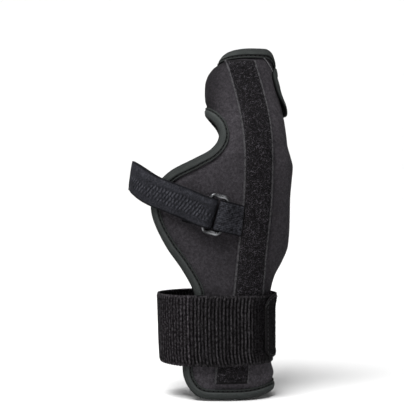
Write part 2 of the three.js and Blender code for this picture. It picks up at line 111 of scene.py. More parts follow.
# Sections of the form from the hem up: z, and the wall's middle on the radial, ulnar, dorsal and palmar side
SECTIONS = np.array([
    (-52, -34.5, 34.4, -21.4, 22.4),
    (-36, -35.6, 36.2, -21.8, 22.8),
    (-30, -36.2, 36.3, -21.9, 22.8),
    (-24, -36.8, 34.8, -22.0, 22.7),
    (-12, -37.6, 32.4, -22.0, 22.4),
    (12, -38.4, 32.4, -21.8, 22.0),
    (25, -39.0, 34.4, -21.6, 21.6),
    (35, -40.5, 37.2, -21.4, 21.2),
    (45, -43.5, 42.2, -21.4, 20.8),
    (54, -46.0, 45.6, -21.6, 20.4),
    (66, -48.8, 46.6, -22.0, 19.8),
    (84, -53.5, 47.0, -22.8, 18.6),
    (97, -55.6, 47.9, -23.2, 17.4),
    (105, -54.2, 48.5, -23.2, 16.6),
    (112, -46.5, 47.0, -22.4, 16.0),
    (119, -30.0, 45.2, -20.8, 15.6),
    (126, -16.0, 44.5, -18.6, 15.4),
    (134, -7.4, 43.5, -15.8, 15.6),
    (141, -5.0, 42.2, -13.0, 16.2),
    (150, -5.8, 40.5, -9.4, 17.8),
    (160, -5.4, 39.0, -5.6, 20.0),
    (165, -4.0, 38.4, -4.0, 21.4),
    (170, -0.8, 38.0, -2.4, 22.8),
    (177, 5.0, 37.5, 0.0, 25.0),
    (190, 9.5, 35.6, 4.6, 29.0),
])

# Free edge of the back panel in the front view, from the bottom hem to the sleeve
EDGE = [
    (4, -41.4), (-9, -40.4), (-16.2, -34.6), (-19.4, -24), (-17.6, -6), (-12.8, 18),
    (-12.6, 26), (-20, 40), (-30.4, 55), (-37.6, 69), (-39.8, 80), (-37, 91),
    (-28, 100.6), (-12.6, 108.6), (-2.2, 114.6), (3.4, 122.5), (2.6, 131), (-1.4, 136.6),
]
# Drop of the sleeve's top edge under its highest point, by angle round it
TOP_DROP = np.array([
    (-180, 4.6), (-120, 5.6), (-60, 7.4), (-20, 8), (8, 6),
    (28, 1.7), (50, 0), (85, 0), (130, 1.2), (180, 4.6),
])
# Middle line of the stay cover in the front view
COVER = [
    (9.2, -33.2), (11, -16), (18.6, 20), (20.4, 34), (22.8, 56), (25, 77),
    (26.1, 97), (26.2, 115), (25.2, 131), (23, 145), (19.2, 162), (16.2, 174.6),
]
# Hand strap from the ring to the radial side, then its anchor: angle, height and lift of its inner face
HAND_STRAP = [
    (96, 77.4, 5.2), (103, 80.8, 4.2), (111, 83.8, 3.9), (120, 86.8, 2.9), (129, 89.4, 2.7),
    (138, 92.5, 2.6), (149, 95.8, 0.8), (161, 98.4, -0.3), (180, 100, -0.3),
]
PALM_ANCHOR = [(257, 80.8, 2.2), (264, 77.6, 2.2), (268, 75.6, 2.2)]
# Lift of the wrist strap's inner face, by angle
WRIST_RISE = np.array([
    (0, 2.2), (14, 2.4), (38, 5), (92, 5), (102, 3.4), (118, 3.1), (127, 2.1),
    (138, 0.5), (150, -0.7), (165, -1.4), (180, -1.5), (196, -1.4), (212, -0.7),
    (224, 0.5), (237, 2.1), (248, 3.1), (268, 3.1), (280, 2.4), (360, 2.2),
])
# Slanted end of the finger flap: height and angle
FLAP_END = [
    (139.8, -8), (143.2, 6), (147.8, 16.5), (153, 22), (158.5, 25.5),
    (163.5, 27), (167.2, 25), (169.6, 19.5), (170.2, 13),
]
FLAP_LOW = 139.8
FLAP_NARROWS = 0.87  # its height where it is sewn on, as a share of its end's


# The form that the cloth lies on
def track(xs, ys):
    """A smooth line through a table's rows that doesn't overshoot them."""
    xs, ys = np.asarray(xs, float), np.asarray(ys, float)
    slope = np.diff(ys) / np.diff(xs)
    before, after = np.r_[slope[0], slope], np.r_[slope, slope[-1]]
    rising = before * after > 0
    lean = np.where(rising, 2 * before * after / np.where(rising, before + after, 1), 0)

    def at(v):
        i = np.clip(np.searchsorted(xs, v, side="right") - 1, 0, len(xs) - 2)
        width = xs[i + 1] - xs[i]
        t = np.clip((v - xs[i]) / width, 0, 1)
        back = 1 - t
        ends = ys[i] * (1 + 2 * t) * back**2 + ys[i + 1] * (1 + 2 * back) * t**2
        return ends + width * t * back * (lean[i] * back - lean[i + 1] * t)

    return at


SIDES = [track(SECTIONS[:, 0], SECTIONS[:, k]) for k in range(1, 5)]
top_drop = track(*TOP_DROP.T)
wrist_rise = track(*WRIST_RISE.T)


def section_at(z):
    radial, ulnar, dorsal, palmar = (side(z) for side in SIDES)
    return (radial + ulnar) / 2, (dorsal + palmar) / 2, (ulnar - radial) / 2, (palmar - dorsal) / 2


def signed_power(v, power):
    return np.sign(v) * np.abs(v) ** power


def on_form(degrees, z):
    degrees, z = np.broadcast_arrays(np.asarray(degrees, float), np.asarray(z, float))
    x, y, half_x, half_y = section_at(z)
    angle = np.radians(degrees)
    round_x = half_x * signed_power(np.cos(angle), 2 / FORM_POWER)
    round_y = half_y * signed_power(np.sin(angle), 2 / FORM_POWER)
    return np.stack([x + round_x, y - round_y, z], axis=-1)


def angle_at(x, z):
    """The angle on the form's back where it has this x."""
    middle, _, half, _ = section_at(z)
    across = np.clip((x - middle) / half, -1, 1)
    return np.degrees(np.arccos(signed_power(across, FORM_POWER / 2)))


def on_back(x, z):
    return on_form(angle_at(x, z), z)


def level(p):
    x, y, half_x, half_y = section_at(p[..., 2])
    return (
        np.abs((p[..., 0] - x) / half_x) ** FORM_POWER
        + np.abs((p[..., 1] - y) / half_y) ** FORM_POWER
        - 1
    )


def gradient(p):
    probe = 0.05
    steps = np.eye(3) * probe
    return np.stack([(level(p + s) - level(p - s)) / (2 * probe) for s in steps], axis=-1)


def unit(v):
    return v / np.linalg.norm(v, axis=-1, keepdims=True)


def outward(p):
    return unit(gradient(p))


def settled(p):
    """The points of the form next to p."""
    for _ in range(4):
        g = gradient(p)
        p = p - g * (level(p) / (g * g).sum(-1))[..., None]
    return p


def raised(p, lift):
    return p + outward(p) * np.asarray(lift)[..., None]


def laid(p, lift):
    return raised(settled(p), lift)


def smoothstep(v, low, high):
    t = np.clip((v - low) / (high - low), 0, 1)
    return t * t * (3 - 2 * t)


def lengths(points):
    return np.r_[0, np.cumsum(np.linalg.norm(np.diff(points, axis=0), axis=1))]


def respaced(points, count):
    run = lengths(points)
    at = np.linspace(0, run[-1], count)
    return np.stack([np.interp(at, run, column) for column in points.T], axis=1)


def cubic(b, c, out, into, t):
    """A curve from b to c that leaves and arrives with these slopes."""
    return (2 * b - 2 * c + out + into) * t**3 + (3 * c - 3 * b - 2 * out - into) * t**2 + out * t + b


def spline(knots, fine=60):
    """An even line through knots in a plane."""
    knots = np.asarray(knots, float)
    held = np.concatenate([knots[:1], knots, knots[-1:]])
    t = np.linspace(0, 1, fine, endpoint=False)[:, None]
    spans = []
    for a, b, c, d in zip(held, held[1:], held[2:], held[3:]):
        spans.append(cubic(b, c, (c - a) / 2, (d - b) / 2, t))
    return np.concatenate(spans + [knots[-1:]])


def taut_line(knots, fine=40):
    """A line through knots in space that doesn't swing out between them."""
    first, last = 2 * knots[0] - knots[1], 2 * knots[-1] - knots[-2]
    held = np.concatenate([[first], knots, [last]])
    gaps = np.sqrt(np.linalg.norm(np.diff(held, axis=0), axis=1))
    t = np.linspace(0, 1, fine, endpoint=False)[:, None]
    spans = []
    for k in range(len(knots) - 1):
        a, b, c, d = held[k : k + 4]
        g0, g1, g2 = gaps[k : k + 3]
        out = g1 * ((b - a) / g0 - (c - a) / (g0 + g1) + (c - b) / g1)
        into = g1 * ((c - b) / g1 - (d - b) / (g1 + g2) + (d - c) / g2)
        spans.append(cubic(b, c, out, into, t))
    return np.concatenate(spans + [knots[-1:]])


def spaced_angles(first, last, z, steps):
    """Angles from first to last with equal steps along the form at height z."""
    fine = np.linspace(first, last, 481)
    run = lengths(on_form(fine, z))
    return np.interp(np.linspace(0, run[-1], steps + 1), run, fine)


def ripple(points, size, seed):
    """Smooth noise from -1 to 1 at each point, in waves of about that size."""
    shift = Vector((seed, 2.7 * seed, -1.3 * seed))
    values = [noise.noise(Vector(p) / size + shift) for p in points.reshape(-1, 3)]
    return np.reshape(values, points.shape[:-1])


def nearest_on(path, points):
    """Distance of each point from a path, and how far along the path that is."""
    run = lengths(path)
    tree = kdtree.KDTree(len(path))
    for i, p in enumerate(path):
        tree.insert(p, i)
    tree.balance()
    found = [tree.find(p) for p in points.reshape(-1, 3)]
    distance = np.reshape([f[2] for f in found], points.shape[:-1])
    return distance, run[np.reshape([f[1] for f in found], points.shape[:-1])]


def nearest_of(paths, points):
    """The same for the nearer of two paths."""
    (one, one_run), (other, other_run) = (nearest_on(path, points) for path in paths)
    return np.minimum(one, other), np.where(one < other, one_run, other_run)


# Making cloth
def bent_grid(places, across=None, along=None, shade=None):
    """A grid of cloth bent to these places. Its weave map holds millimetres across and along it, and its
    shade, mostly painted light and shade with some of the cloth's own tone, goes from 0 in a groove to 1 on
    a crest."""
    rows, columns = places.shape[:2]
    if across is None:
        across = lengths(places[rows // 2])[None, :]
    if along is None:
        along = lengths(places[:, columns // 2])[:, None]
    threads = np.stack(np.broadcast_arrays(across, along), axis=-1)
    threads = np.broadcast_to(threads, (rows, columns, 2)).reshape(-1, 2)
    bm = bmesh.new()
    bmesh.ops.create_grid(bm, x_segments=columns - 1, y_segments=rows - 1, size=0.5)
    bm.verts.index_update()
    weave = bm.loops.layers.uv.new("weave")
    flat = places.reshape(-1, 3) * MM
    for vert in bm.verts:
        vert.co = flat[vert.index]
    for face in bm.faces:
        for corner in face.loops:
            corner[weave].uv = threads[corner.vert.index]
    if shade is not None:
        layer = bm.verts.layers.float.new("shade")
        for vert, value in zip(bm.verts, np.broadcast_to(shade, (rows, columns)).reshape(-1)):
            vert[layer] = value
    return bm


def embossed(bm, depth):
    """Moves each point of a grid out of its surface."""
    bm.normal_update()
    shifts = [vert.normal * d * MM for vert, d in zip(bm.verts, depth.reshape(-1))]
    for vert, shift in zip(bm.verts, shifts):
        vert.co += shift


def closed_up(bm):
    bmesh.ops.remove_doubles(bm, verts=bm.verts, dist=0.00002)


def edges_of(verts):
    return list({edge for vert in verts for edge in vert.link_edges})


def edges_in(geometry):
    return [g for g in geometry if isinstance(g, bmesh.types.BMEdge)]


def placed(name, bm, finish):
    """A smooth object in the scene, with its finish."""
    mesh = bpy.data.meshes.new(name)
    bm.to_mesh(mesh)
    bm.free()
    mesh.shade_smooth()
    mesh.materials.append(finish)
    obj = bpy.data.objects.new(name, mesh)
    bpy.context.scene.collection.objects.link(obj)
    return obj


def piece(name, bm, finish, node=None):
    obj = placed(name, bm, finish)
    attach(obj, "root")
    if node:
        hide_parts(node)
    return obj


def made_solid(obj):
    """The piece with its modifiers worked into its mesh."""
    graph = bpy.context.evaluated_depsgraph_get()
    mesh = bpy.data.meshes.new_from_object(obj.evaluated_get(graph))
    mesh.name = obj.name
    obj.modifiers.clear()
    obj.data = mesh
    return mesh


def thickened(obj, thickness, offset=0.0, shares=None, rim=0.0):
    """Gives a sheet its thickness, in shares of it point by point, and rounds its cut edges."""
    wall = obj.modifiers.new("wall", "SOLIDIFY")
    wall.thickness = thickness * MM
    wall.offset = offset
    if shares is not None:
        group = obj.vertex_groups.new(name="wall")
        for i, share in enumerate(shares):
            group.add([i], float(share), "REPLACE")
        wall.vertex_group = group.name
    if rim:
        edge = obj.modifiers.new("rim", "BEVEL")
        edge.width = rim * MM
        edge.segments = 2
        edge.limit_method = "ANGLE"
        edge.angle_limit = math.radians(60)
    mesh = made_solid(obj)
    obj.vertex_groups.clear()
    mesh.set_sharp_from_angle(angle=math.radians(65))
    return obj


# Finishes
class Finish:
    """A cloth or plastic whose nodes are added one at a time."""

    def __init__(self, name, **sockets):
        self.material = bpy.data.materials.new(name)
        self.material.use_nodes = True
        self.tree = self.material.node_tree
        self.shader = self.tree.nodes["Principled BSDF"]
        for socket, value in sockets.items():
            self.shader.inputs[socket.replace("_", " ")].default_value = value

    def node(self, kind, sockets=(), **settings):
        made = self.tree.nodes.new(kind)
        for name, value in settings.items():
            setattr(made, name, value)
        for key, value in dict(sockets).items():
            if isinstance(value, bpy.types.NodeSocket):
                self.tree.links.new(value, made.inputs[key])
            else:
                made.inputs[key].default_value = value
        return made

    def body(self):
        return self.node("ShaderNodeTexCoord").outputs["Object"]

    def weave(self):
        uv = self.node("ShaderNodeUVMap", uv_map="weave").outputs["UV"]
        parts = self.node("ShaderNodeSeparateXYZ", {0: uv})
        return uv, parts.outputs["X"], parts.outputs["Y"]

    def shade(self):
        return self.node("ShaderNodeAttribute", attribute_name="shade").outputs["Fac"]

    def drawn(self, where, *stretch):
        """Coordinates drawn out to lengthen a pattern."""
        return self.node("ShaderNodeVectorMath", {0: where, 1: stretch}, operation="MULTIPLY").outputs[0]

    def calc(self, operation, a, b=0.0, c=0.0):
        return self.node("ShaderNodeMath", {0: a, 1: b, 2: c}, operation=operation).outputs[0]

    def scaled(self, value, by, plus):
        return self.calc("MULTIPLY_ADD", value, by, plus)

    def from_middle(self, across, width):
        return self.calc("ABSOLUTE", self.calc("SUBTRACT", across, width / 2))

    def wave(self, run, pitch, phase=0.0):
        """0 to 1 and back once in each pitch."""
        turn = self.scaled(run, 2 * math.pi / pitch, phase)
        return self.scaled(self.calc("SINE", turn), 0.5, 0.5)

    def step(self, value, low, high):
        return self.node(
            "ShaderNodeMapRange",
            {"Value": value, "From Min": low, "From Max": high},
            interpolation_type="SMOOTHSTEP",
        ).outputs["Result"]

    def noise(self, where, scale, detail=2.0, roughness=0.5):
        sockets = {"Vector": where, "Scale": scale, "Detail": detail, "Roughness": roughness}
        return self.node("ShaderNodeTexNoise", sockets).outputs["Fac"]

    def ramp(self, value, *stops):
        """Colours by value, where a single number is a grey."""
        made = self.node("ShaderNodeValToRGB", {0: value})
        points = made.color_ramp.elements
        while len(points) < len(stops):
            points.new(0.5)
        for point, (at, colour) in zip(points, stops):
            point.position = at
            point.color = (*np.broadcast_to(colour, 3), 1)
        return made.outputs["Color"]

    def mix(self, share, a, b, blend="MIX"):
        made = self.node("ShaderNodeMix", data_type="RGBA", blend_type=blend)
        for socket, value in ((0, share), (6, a), (7, b)):
            if isinstance(value, bpy.types.NodeSocket):
                self.tree.links.new(value, made.inputs[socket])
            else:
                made.inputs[socket].default_value = value if socket == 0 else (*value, 1)
        return made.outputs[2]

    def times(self, a, b):
        return self.mix(1.0, a, b, "MULTIPLY")

    def bump(self, height, depth):
        sockets = {"Height": height, "Distance": depth * MM, "Strength": 1.0}
        return self.node("ShaderNodeBump", sockets).outputs["Normal"]

    def done(self, colour, roughness=None, normal=None, **others):
        ends = {"Base Color": colour, "Roughness": roughness, "Normal": normal, **others}
        for socket, value in ends.items():
            if value is not None:
                self.tree.links.new(value, self.shader.inputs[socket.replace("_", " ")])
        return self.material


def shell_cloth():
    """Charcoal jersey on foam: fine rows of stitches, a soft nap and patches of rubbed colour."""
    f = Finish("charcoal_jersey", Specular_IOR_Level=0.04, Sheen_Weight=0.01, Sheen_Roughness=0.6)
    body = f.body()
    uv, around, up = f.weave()
    sway = f.noise(uv, 0.8, 1.0)
    columns = f.wave(f.scaled(sway, 0.5, around), 0.95)
    courses = f.wave(f.scaled(columns, 0.35, up), 0.8)
    knit = f.calc("MULTIPLY", columns, courses)
    nap = f.noise(body, 2200, 3.0, 0.65)
    patches = f.noise(body, 42, 5.0, 0.7)
    mottle = f.noise(body, 620, 2.0, 0.6)
    worn = f.ramp(patches, (0.3, (0.0285, 0.0266, 0.0294)), (0.7, (0.0435, 0.041, 0.045)))
    fibre = f.ramp(nap, (0.3, (0.5, 0.49, 0.5)), (0.72, (1.4, 1.38, 1.4)))
    colour = f.times(worn, fibre)
    grain = f.ramp(mottle, (0.36, (0.72, 0.71, 0.72)), (0.64, (1.28, 1.26, 1.28)))
    colour = f.times(colour, grain)
    colour = f.mix(f.calc("MULTIPLY", knit, 0.16), colour, (0.075, 0.071, 0.077))
    # painted light and shade from the shade attribute: by height, and on the sleeve's radial side
    colour = f.times(colour, f.shade())
    rough = f.scaled(nap, 0.12, 0.86)
    normal = f.bump(f.scaled(nap, 0.7, knit), 0.18)
    return f.done(colour, rough, normal)


def binding_cloth():
    """Grey-green folded tape: a close rib across it, with painted shade from the shade attribute, near black
    in the sewn groove.
    """
    f = Finish("grey_green_tape", Specular_IOR_Level=0.04)
    body = f.body()
    uv, across, along = f.weave()
    ribs = f.wave(along, 0.7)
    picks = f.wave(across, 0.55)
    cloth = f.scaled(picks, 0.4, ribs)
    nap = f.noise(body, 1900, 3.0, 0.6)
    streak = f.noise(f.drawn(uv, 1.3, 0.16, 1.0), 1.0, 3.0, 0.6)
    base = f.ramp(streak, (0.3, (0.031, 0.0342, 0.0335)), (0.7, (0.048, 0.0523, 0.051)))
    fibre = f.ramp(nap, (0.3, 0.7), (0.7, 1.25))
    colour = f.times(base, fibre)
    colour = f.mix(f.calc("MULTIPLY", ribs, 0.14), colour, (0.085, 0.093, 0.09))
    # painted shade: near black in the sewn groove, dark at the edge and under the fold's nose, lightest on
    # the ridge beside the groove
    depth = f.ramp(f.shade(), (0.0, 0.03), (0.45, 0.52), (1.0, 1.0))
    colour = f.times(colour, depth)
    rough = f.scaled(nap, 0.2, 0.62)
    normal = f.bump(f.scaled(nap, 0.5, cloth), 0.11)
    return f.done(colour, rough, normal)


def cover_cloth():
    """The stay cover's ground: a paler selvedge on both sides of a dark looped middle."""
    f = Finish("cover_ground", Specular_IOR_Level=0.03)
    body = f.body()
    uv, across, along = f.weave()
    off = f.from_middle(across, COVER_WIDTH)
    fray = f.noise(f.drawn(uv, 1.0, 0.45, 1.0), 0.9, 3.0, 0.6)
    hem = f.step(f.scaled(fray, 2.0, off), COVER_WIDTH / 2 - 0.55, COVER_WIDTH / 2 + 0.1)
    ribs = f.wave(along, 0.8)
    nap = f.noise(body, 1500, 3.0, 0.7)
    dark = f.ramp(nap, (0.35, (0.005, 0.0048, 0.0052)), (0.7, (0.017, 0.016, 0.017)))
    pale = f.ramp(nap, (0.3, (0.030, 0.029, 0.0315)), (0.7, (0.064, 0.062, 0.066)))
    wear = f.noise(f.drawn(uv, 0.2, 0.3, 1.0), 1.0, 3.0, 0.65)
    pale = f.times(pale, f.ramp(wear, (0.36, 0.55), (0.62, 1.2)))
    colour = f.mix(hem, dark, pale)
    normal = f.bump(f.scaled(ribs, 0.3, nap), 0.3)
    return f.done(colour, f.scaled(nap, 0.1, 0.85), normal)


def loop_cloth(name, gain):
    """Brushed loops: near-black yarn with paler, worn loops among them."""
    f = Finish(name, Specular_IOR_Level=0.04)
    body = f.body()
    clump = f.noise(body, 430, 2.0, 0.6)
    tint = gain * np.array((1, 0.92, 1.05))
    tones = ((0.0, 0.009), (0.35, 0.0175), (0.7, 0.031), (1.0, 0.043))
    base = f.ramp(f.shade(), *((at, tone * tint) for at, tone in tones))
    shade = f.ramp(clump, (0.36, 0.5), (0.64, 1.6))
    colour = f.times(base, shade)
    fuzz = f.noise(body, 5000, 2.0)
    return f.done(colour, f.scaled(fuzz, 0.2, 0.7), f.bump(fuzz, 0.05))


def strap_cloth():
    """Blue-black knitted strap: plain margins and rows of short open slits, with painted shade in the slits,
    along its edges and by the ring.
    """
    f = Finish("blue_black_knit", Specular_IOR_Level=0.03)
    body = f.body()
    _, across, along = f.weave()
    ridges = f.wave(along, 0.62)
    cords = f.wave(across, 0.9)
    cloth = f.calc("MULTIPLY", ridges, cords)
    nap = f.noise(body, 1500, 3.0, 0.65)
    base = f.ramp(
        f.shade(),
        (0.0, (0.0022, 0.0022, 0.0026)),
        (0.4, (0.0105, 0.0107, 0.0128)),
        (0.7, (0.0215, 0.0218, 0.0262)),
        (1.0, (0.048, 0.0485, 0.057)),
    )
    fibre = f.ramp(nap, (0.3, 0.5), (0.7, 1.45))
    colour = f.times(base, fibre)
    colour = f.mix(f.calc("MULTIPLY", cloth, 0.08), colour, (0.05, 0.051, 0.058))
    normal = f.bump(f.scaled(nap, 0.5, cloth), 0.14)
    return f.done(colour, f.scaled(nap, 0.15, 0.75), normal)


def tab_cloth():
    """Plain woven web of the ring tab, with a brushed face."""
    f = Finish("woven_web", Specular_IOR_Level=0.03)
    body = f.body()
    _, across, along = f.weave()
    warp = f.wave(across, 1.1)
    weft = f.wave(f.scaled(warp, 0.45, along), 0.9)
    cloth = f.scaled(weft, 0.7, warp)
    nap = f.noise(body, 760, 3.0, 0.7)
    base = f.ramp(cloth, (0.3, (0.009, 0.0092, 0.011)), (0.95, (0.025, 0.0254, 0.030)))
    fibre = f.ramp(nap, (0.38, 0.3), (0.62, 1.75))
    colour = f.times(base, fibre)
    off = f.from_middle(across, STRAP_WIDTH)
    # painted shade along the tab's edges
    selvedge = f.step(off, STRAP_WIDTH / 2 - 1.0, STRAP_WIDTH / 2 - 0.3)
    colour = f.mix(selvedge, colour, (0.003, 0.003, 0.0036))
    return f.done(colour, f.scaled(nap, 0.15, 0.75), f.bump(f.calc("ADD", cloth, nap), 0.16))


# The radial side of the elastic is grittier and also painted lighter, as painted light falling on that side
GRIT_ANGLE = 117  # from here round the radial side the elastic is gritty
GRIT_FROM = lengths(on_form(np.linspace(0, GRIT_ANGLE, 400), 0))[-1]  # the same along it
GRIT_FADE = 4


def elastic_cloth():
    """Ribbed elastic: thin grey cords with painted shade, near black, between them, and a smooth selvedge.
    """
    f = Finish("ribbed_elastic", Specular_IOR_Level=0.02)
    body = f.body()
    uv, around, _ = f.weave()
    speck = f.noise(f.drawn(uv, 0.95, 0.55, 1.0), 1.0, 4.0, 0.72)
    nap = f.noise(body, 1500, 3.0, 0.65)
    grit = f.noise(f.drawn(uv, 0.62, 0.5, 1.0), 1.0, 4.0, 0.75)
    cords = f.ramp(
        f.shade(),
        (0.0, (0.0012, 0.0011, 0.0012)),
        (0.3, (0.0058, 0.0054, 0.0058)),
        (0.6, (0.0150, 0.0140, 0.0151)),
        (1.0, (0.046, 0.0433, 0.0463)),
    )
    broken = f.ramp(speck, (0.41, 0.25), (0.59, 1.7))
    colour = f.times(cords, broken)
    # grittier weave, and painted light: lighter on average
    grit_and_painted_light = f.ramp(grit, (0.40, (0.65, 0.64, 0.65)), (0.60, (2.3, 2.22, 2.27)))
    grit_and_light_zone = f.step(around, GRIT_FROM, GRIT_FROM + GRIT_FADE)
    colour = f.mix(grit_and_light_zone, colour, f.times(colour, grit_and_painted_light))
    fibre = f.ramp(nap, (0.3, 0.7), (0.7, 1.3))
    colour = f.times(colour, fibre)
    return f.done(colour, f.scaled(nap, 0.15, 0.78), f.bump(f.calc("ADD", speck, nap), 0.16))


def hook_cloth():
    """Ground of the hook-faced end."""
    f = Finish("hook_ground", Specular_IOR_Level=0.03)
    body = f.body()
    _, across, along = f.weave()
    twill = f.wave(f.calc("ADD", across, along), 1.3)
    nap = f.noise(body, 1500, 3.0, 0.65)
    base = f.ramp(nap, (0.35, (0.003, 0.0028, 0.0031)), (0.7, (0.012, 0.0112, 0.0121)))
    colour = f.mix(f.calc("MULTIPLY", twill, 0.25), base, (0.019, 0.018, 0.0192))
    return f.done(colour, f.scaled(nap, 0.1, 0.8), f.bump(f.calc("ADD", twill, nap), 0.15))


def ring_plastic():
    """Glossy black moulded ring with faint rubbing."""
    f = Finish("black_ring", IOR=2.3, Coat_Roughness=0.22, Specular_Tint=(0.93, 0.95, 1, 1))
    body = f.body()
    rub = f.noise(body, 420, 4.0, 0.6)
    colour = f.ramp(rub, (0.35, (0.006, 0.006, 0.0063)), (0.75, (0.016, 0.016, 0.0165)))
    rough = f.scaled(rub, 0.2, 0.2)
    # painted highlight: the shade attribute sets the strength of the reflections along the ring's ends
    painted_highlight = f.shade()
    return f.done(colour, rough, f.bump(rub, 0.02), Specular_IOR_Level=painted_highlight, Coat_Weight=painted_highlight)


def thread(name, dark, pale):
    """Twisted sewing thread."""
    f = Finish(name, Specular_IOR_Level=0.2, Sheen_Weight=0.04, Sheen_Roughness=0.4)
    body = f.body()
    twist = f.noise(body, 2600, 2.0)
    rough = f.scaled(twist, 0.2, 0.55)
    return f.done(f.ramp(twist, (0.3, dark), (0.7, pale)), rough, f.bump(twist, 0.08))


SHELL_CLOTH = shell_cloth()
BINDING_CLOTH = binding_cloth()
COVER_CLOTH = cover_cloth()
LOOP_CLOTH = loop_cloth("brushed_loops", 1.25)
DARK_LOOPS = loop_cloth("dark_loops", 0.42)
STRAP_CLOTH = strap_cloth()
TAB_CLOTH = tab_cloth()
ELASTIC_CLOTH = elastic_cloth()
HOOK_CLOTH = hook_cloth()
RING_PLASTIC = ring_plastic()
HEM_THREAD = thread("hem_thread", (0.04, 0.039, 0.0415), (0.08, 0.078, 0.082))
DARK_THREAD = thread("dark_thread", (0.005, 0.005, 0.0055), (0.018, 0.0185, 0.0185))
PALE_THREAD = thread("pale_thread", (0.075, 0.074, 0.077), (0.15, 0.148, 0.153))


# Stitches and pile
STITCH_PITCH = 3.0
STITCH_FLATNESS = 0.4  # half its height, as a share of its width


def sew(bm, path, pitch, length, width):
    """Adds a row of stitches along a path."""
    count = max(int(lengths(path)[-1] / pitch), 2)
    places = respaced(path, 2 * count + 1)
    ups = respaced(np.c_[path, outward(path)], 2 * count + 1)[:, 3:]
    for k in range(1, 2 * count, 2):
        run = Vector(places[k + 1] - places[k - 1]).normalized()
        side = Vector(ups[k]).cross(run).normalized()
        turn = Matrix((side, run.cross(side), run)).transposed().to_4x4()
        stretch = Matrix.Diagonal((width / 2, width * STITCH_FLATNESS, length / 2, 1 / MM)) * MM
        place = Matrix.Translation(Vector(places[k]) * MM) @ turn @ stretch
        bmesh.ops.create_uvsphere(bm, u_segments=6, v_segments=4, radius=1, matrix=place)


def stitches(name, paths, finish, pitch=STITCH_PITCH, length=2.5, width=0.55):
    bm = bmesh.new()
    for path in paths:
        sew(bm, path, pitch, length, width)
    return piece(name, bm, finish)


def pile_loop(radius, yarn, finish):
    """One loop of pile, standing on the ground in the yarn's plane."""
    bm = bmesh.new()
    foot = Matrix.Translation((radius * MM, 0, 0))
    made = bmesh.ops.create_circle(bm, segments=4, radius=yarn * MM, matrix=foot)
    bmesh.ops.spin(
        bm,
        geom=edges_of(made["verts"]),
        cent=(0, 0, 0),
        axis=(0, -1, 0),
        angle=math.pi,
        steps=4,
    )
    bmesh.ops.recalc_face_normals(bm, faces=bm.faces)
    return placed("pile_loop", bm, finish)


LOOP_LEAN = 0.6  # radians to either side
LOOP_SIZES = 0.65, 1.25
LOOPS_TRIED = 3.0  # for each square of the spacing


def pile(name, ground, finish, spacing, radius, yarn, seed):
    """Loops of pile scattered over a patch of ground."""
    loop = pile_loop(radius, yarn, finish)
    tree = bpy.data.node_groups.new("pile", "GeometryNodeTree")
    tree.interface.new_socket("Ground", in_out="INPUT", socket_type="NodeSocketGeometry")
    tree.interface.new_socket("Pile", in_out="OUTPUT", socket_type="NodeSocketGeometry")

    def node(kind, settings=(), **sockets):
        made = tree.nodes.new(kind)
        for key, value in dict(settings).items():
            setattr(made, key, value)
        for key, value in sockets.items():
            socket = made.inputs[key.replace("_", " ")]
            if isinstance(value, bpy.types.NodeSocket):
                tree.links.new(value, socket)
            else:
                socket.default_value = value
        return made

    def chance(low, high, draw):
        made = node("FunctionNodeRandomValue", Seed=seed + draw)
        made.inputs[2].default_value = low
        made.inputs[3].default_value = high
        return made.outputs[1]

    feet = node(
        "GeometryNodeDistributePointsOnFaces",
        {"distribute_method": "POISSON"},
        Mesh=node("NodeGroupInput").outputs[0],
        Distance_Min=spacing * MM,
        Density_Max=LOOPS_TRIED / (spacing * MM) ** 2,
        Seed=seed,
    )
    way = feet.outputs["Rotation"]
    facing = chance(0, 2 * math.pi, 0), (0, 0, 1)
    leaning = chance(-LOOP_LEAN, LOOP_LEAN, 1), (1, 0, 0)
    local = {"rotation_space": "LOCAL"}
    for angle, axis in (facing, leaning):
        turn = node("FunctionNodeAxisAngleToRotation", Angle=angle, Axis=axis).outputs[0]
        way = node("FunctionNodeRotateRotation", local, Rotation=way, Rotate_By=turn).outputs[0]
    loops = node(
        "GeometryNodeInstanceOnPoints",
        Points=feet.outputs["Points"],
        Instance=node("GeometryNodeObjectInfo", Object=loop).outputs["Geometry"],
        Rotation=way,
        Scale=chance(*LOOP_SIZES, 2),
    )
    toned = node(
        "GeometryNodeStoreNamedAttribute",
        {"domain": "INSTANCE"},
        Geometry=loops.outputs[0],
        Name="shade",
        Value=chance(0, 1, 3),
    )
    real = node("GeometryNodeRealizeInstances", Geometry=toned.outputs[0])
    tree.links.new(real.outputs[0], node("NodeGroupOutput").inputs[0])

    obj = piece(name, ground, finish)
    grow = obj.modifiers.new("pile", "NODES")
    grow.node_group = tree
    made_solid(obj)
    bpy.data.objects.remove(loop)
    return obj


# Shell
OUTLINE_ROWS = 150
ARCH_ROWS = 14
EDGE_ROWS = OUTLINE_ROWS + ARCH_ROWS
SLEEVE_ROWS = 26
AROUND = 112
EDGE_STEPS = 620
TOP_STEPS = 120
SEAM_STEPS = 400
PALM_INSET_SPAN = 4, 40  # below the sleeve, where the palm panel draws in
HEM_RISE_SPAN = 8, 70  # degrees from the ulnar side, where the hem comes down again


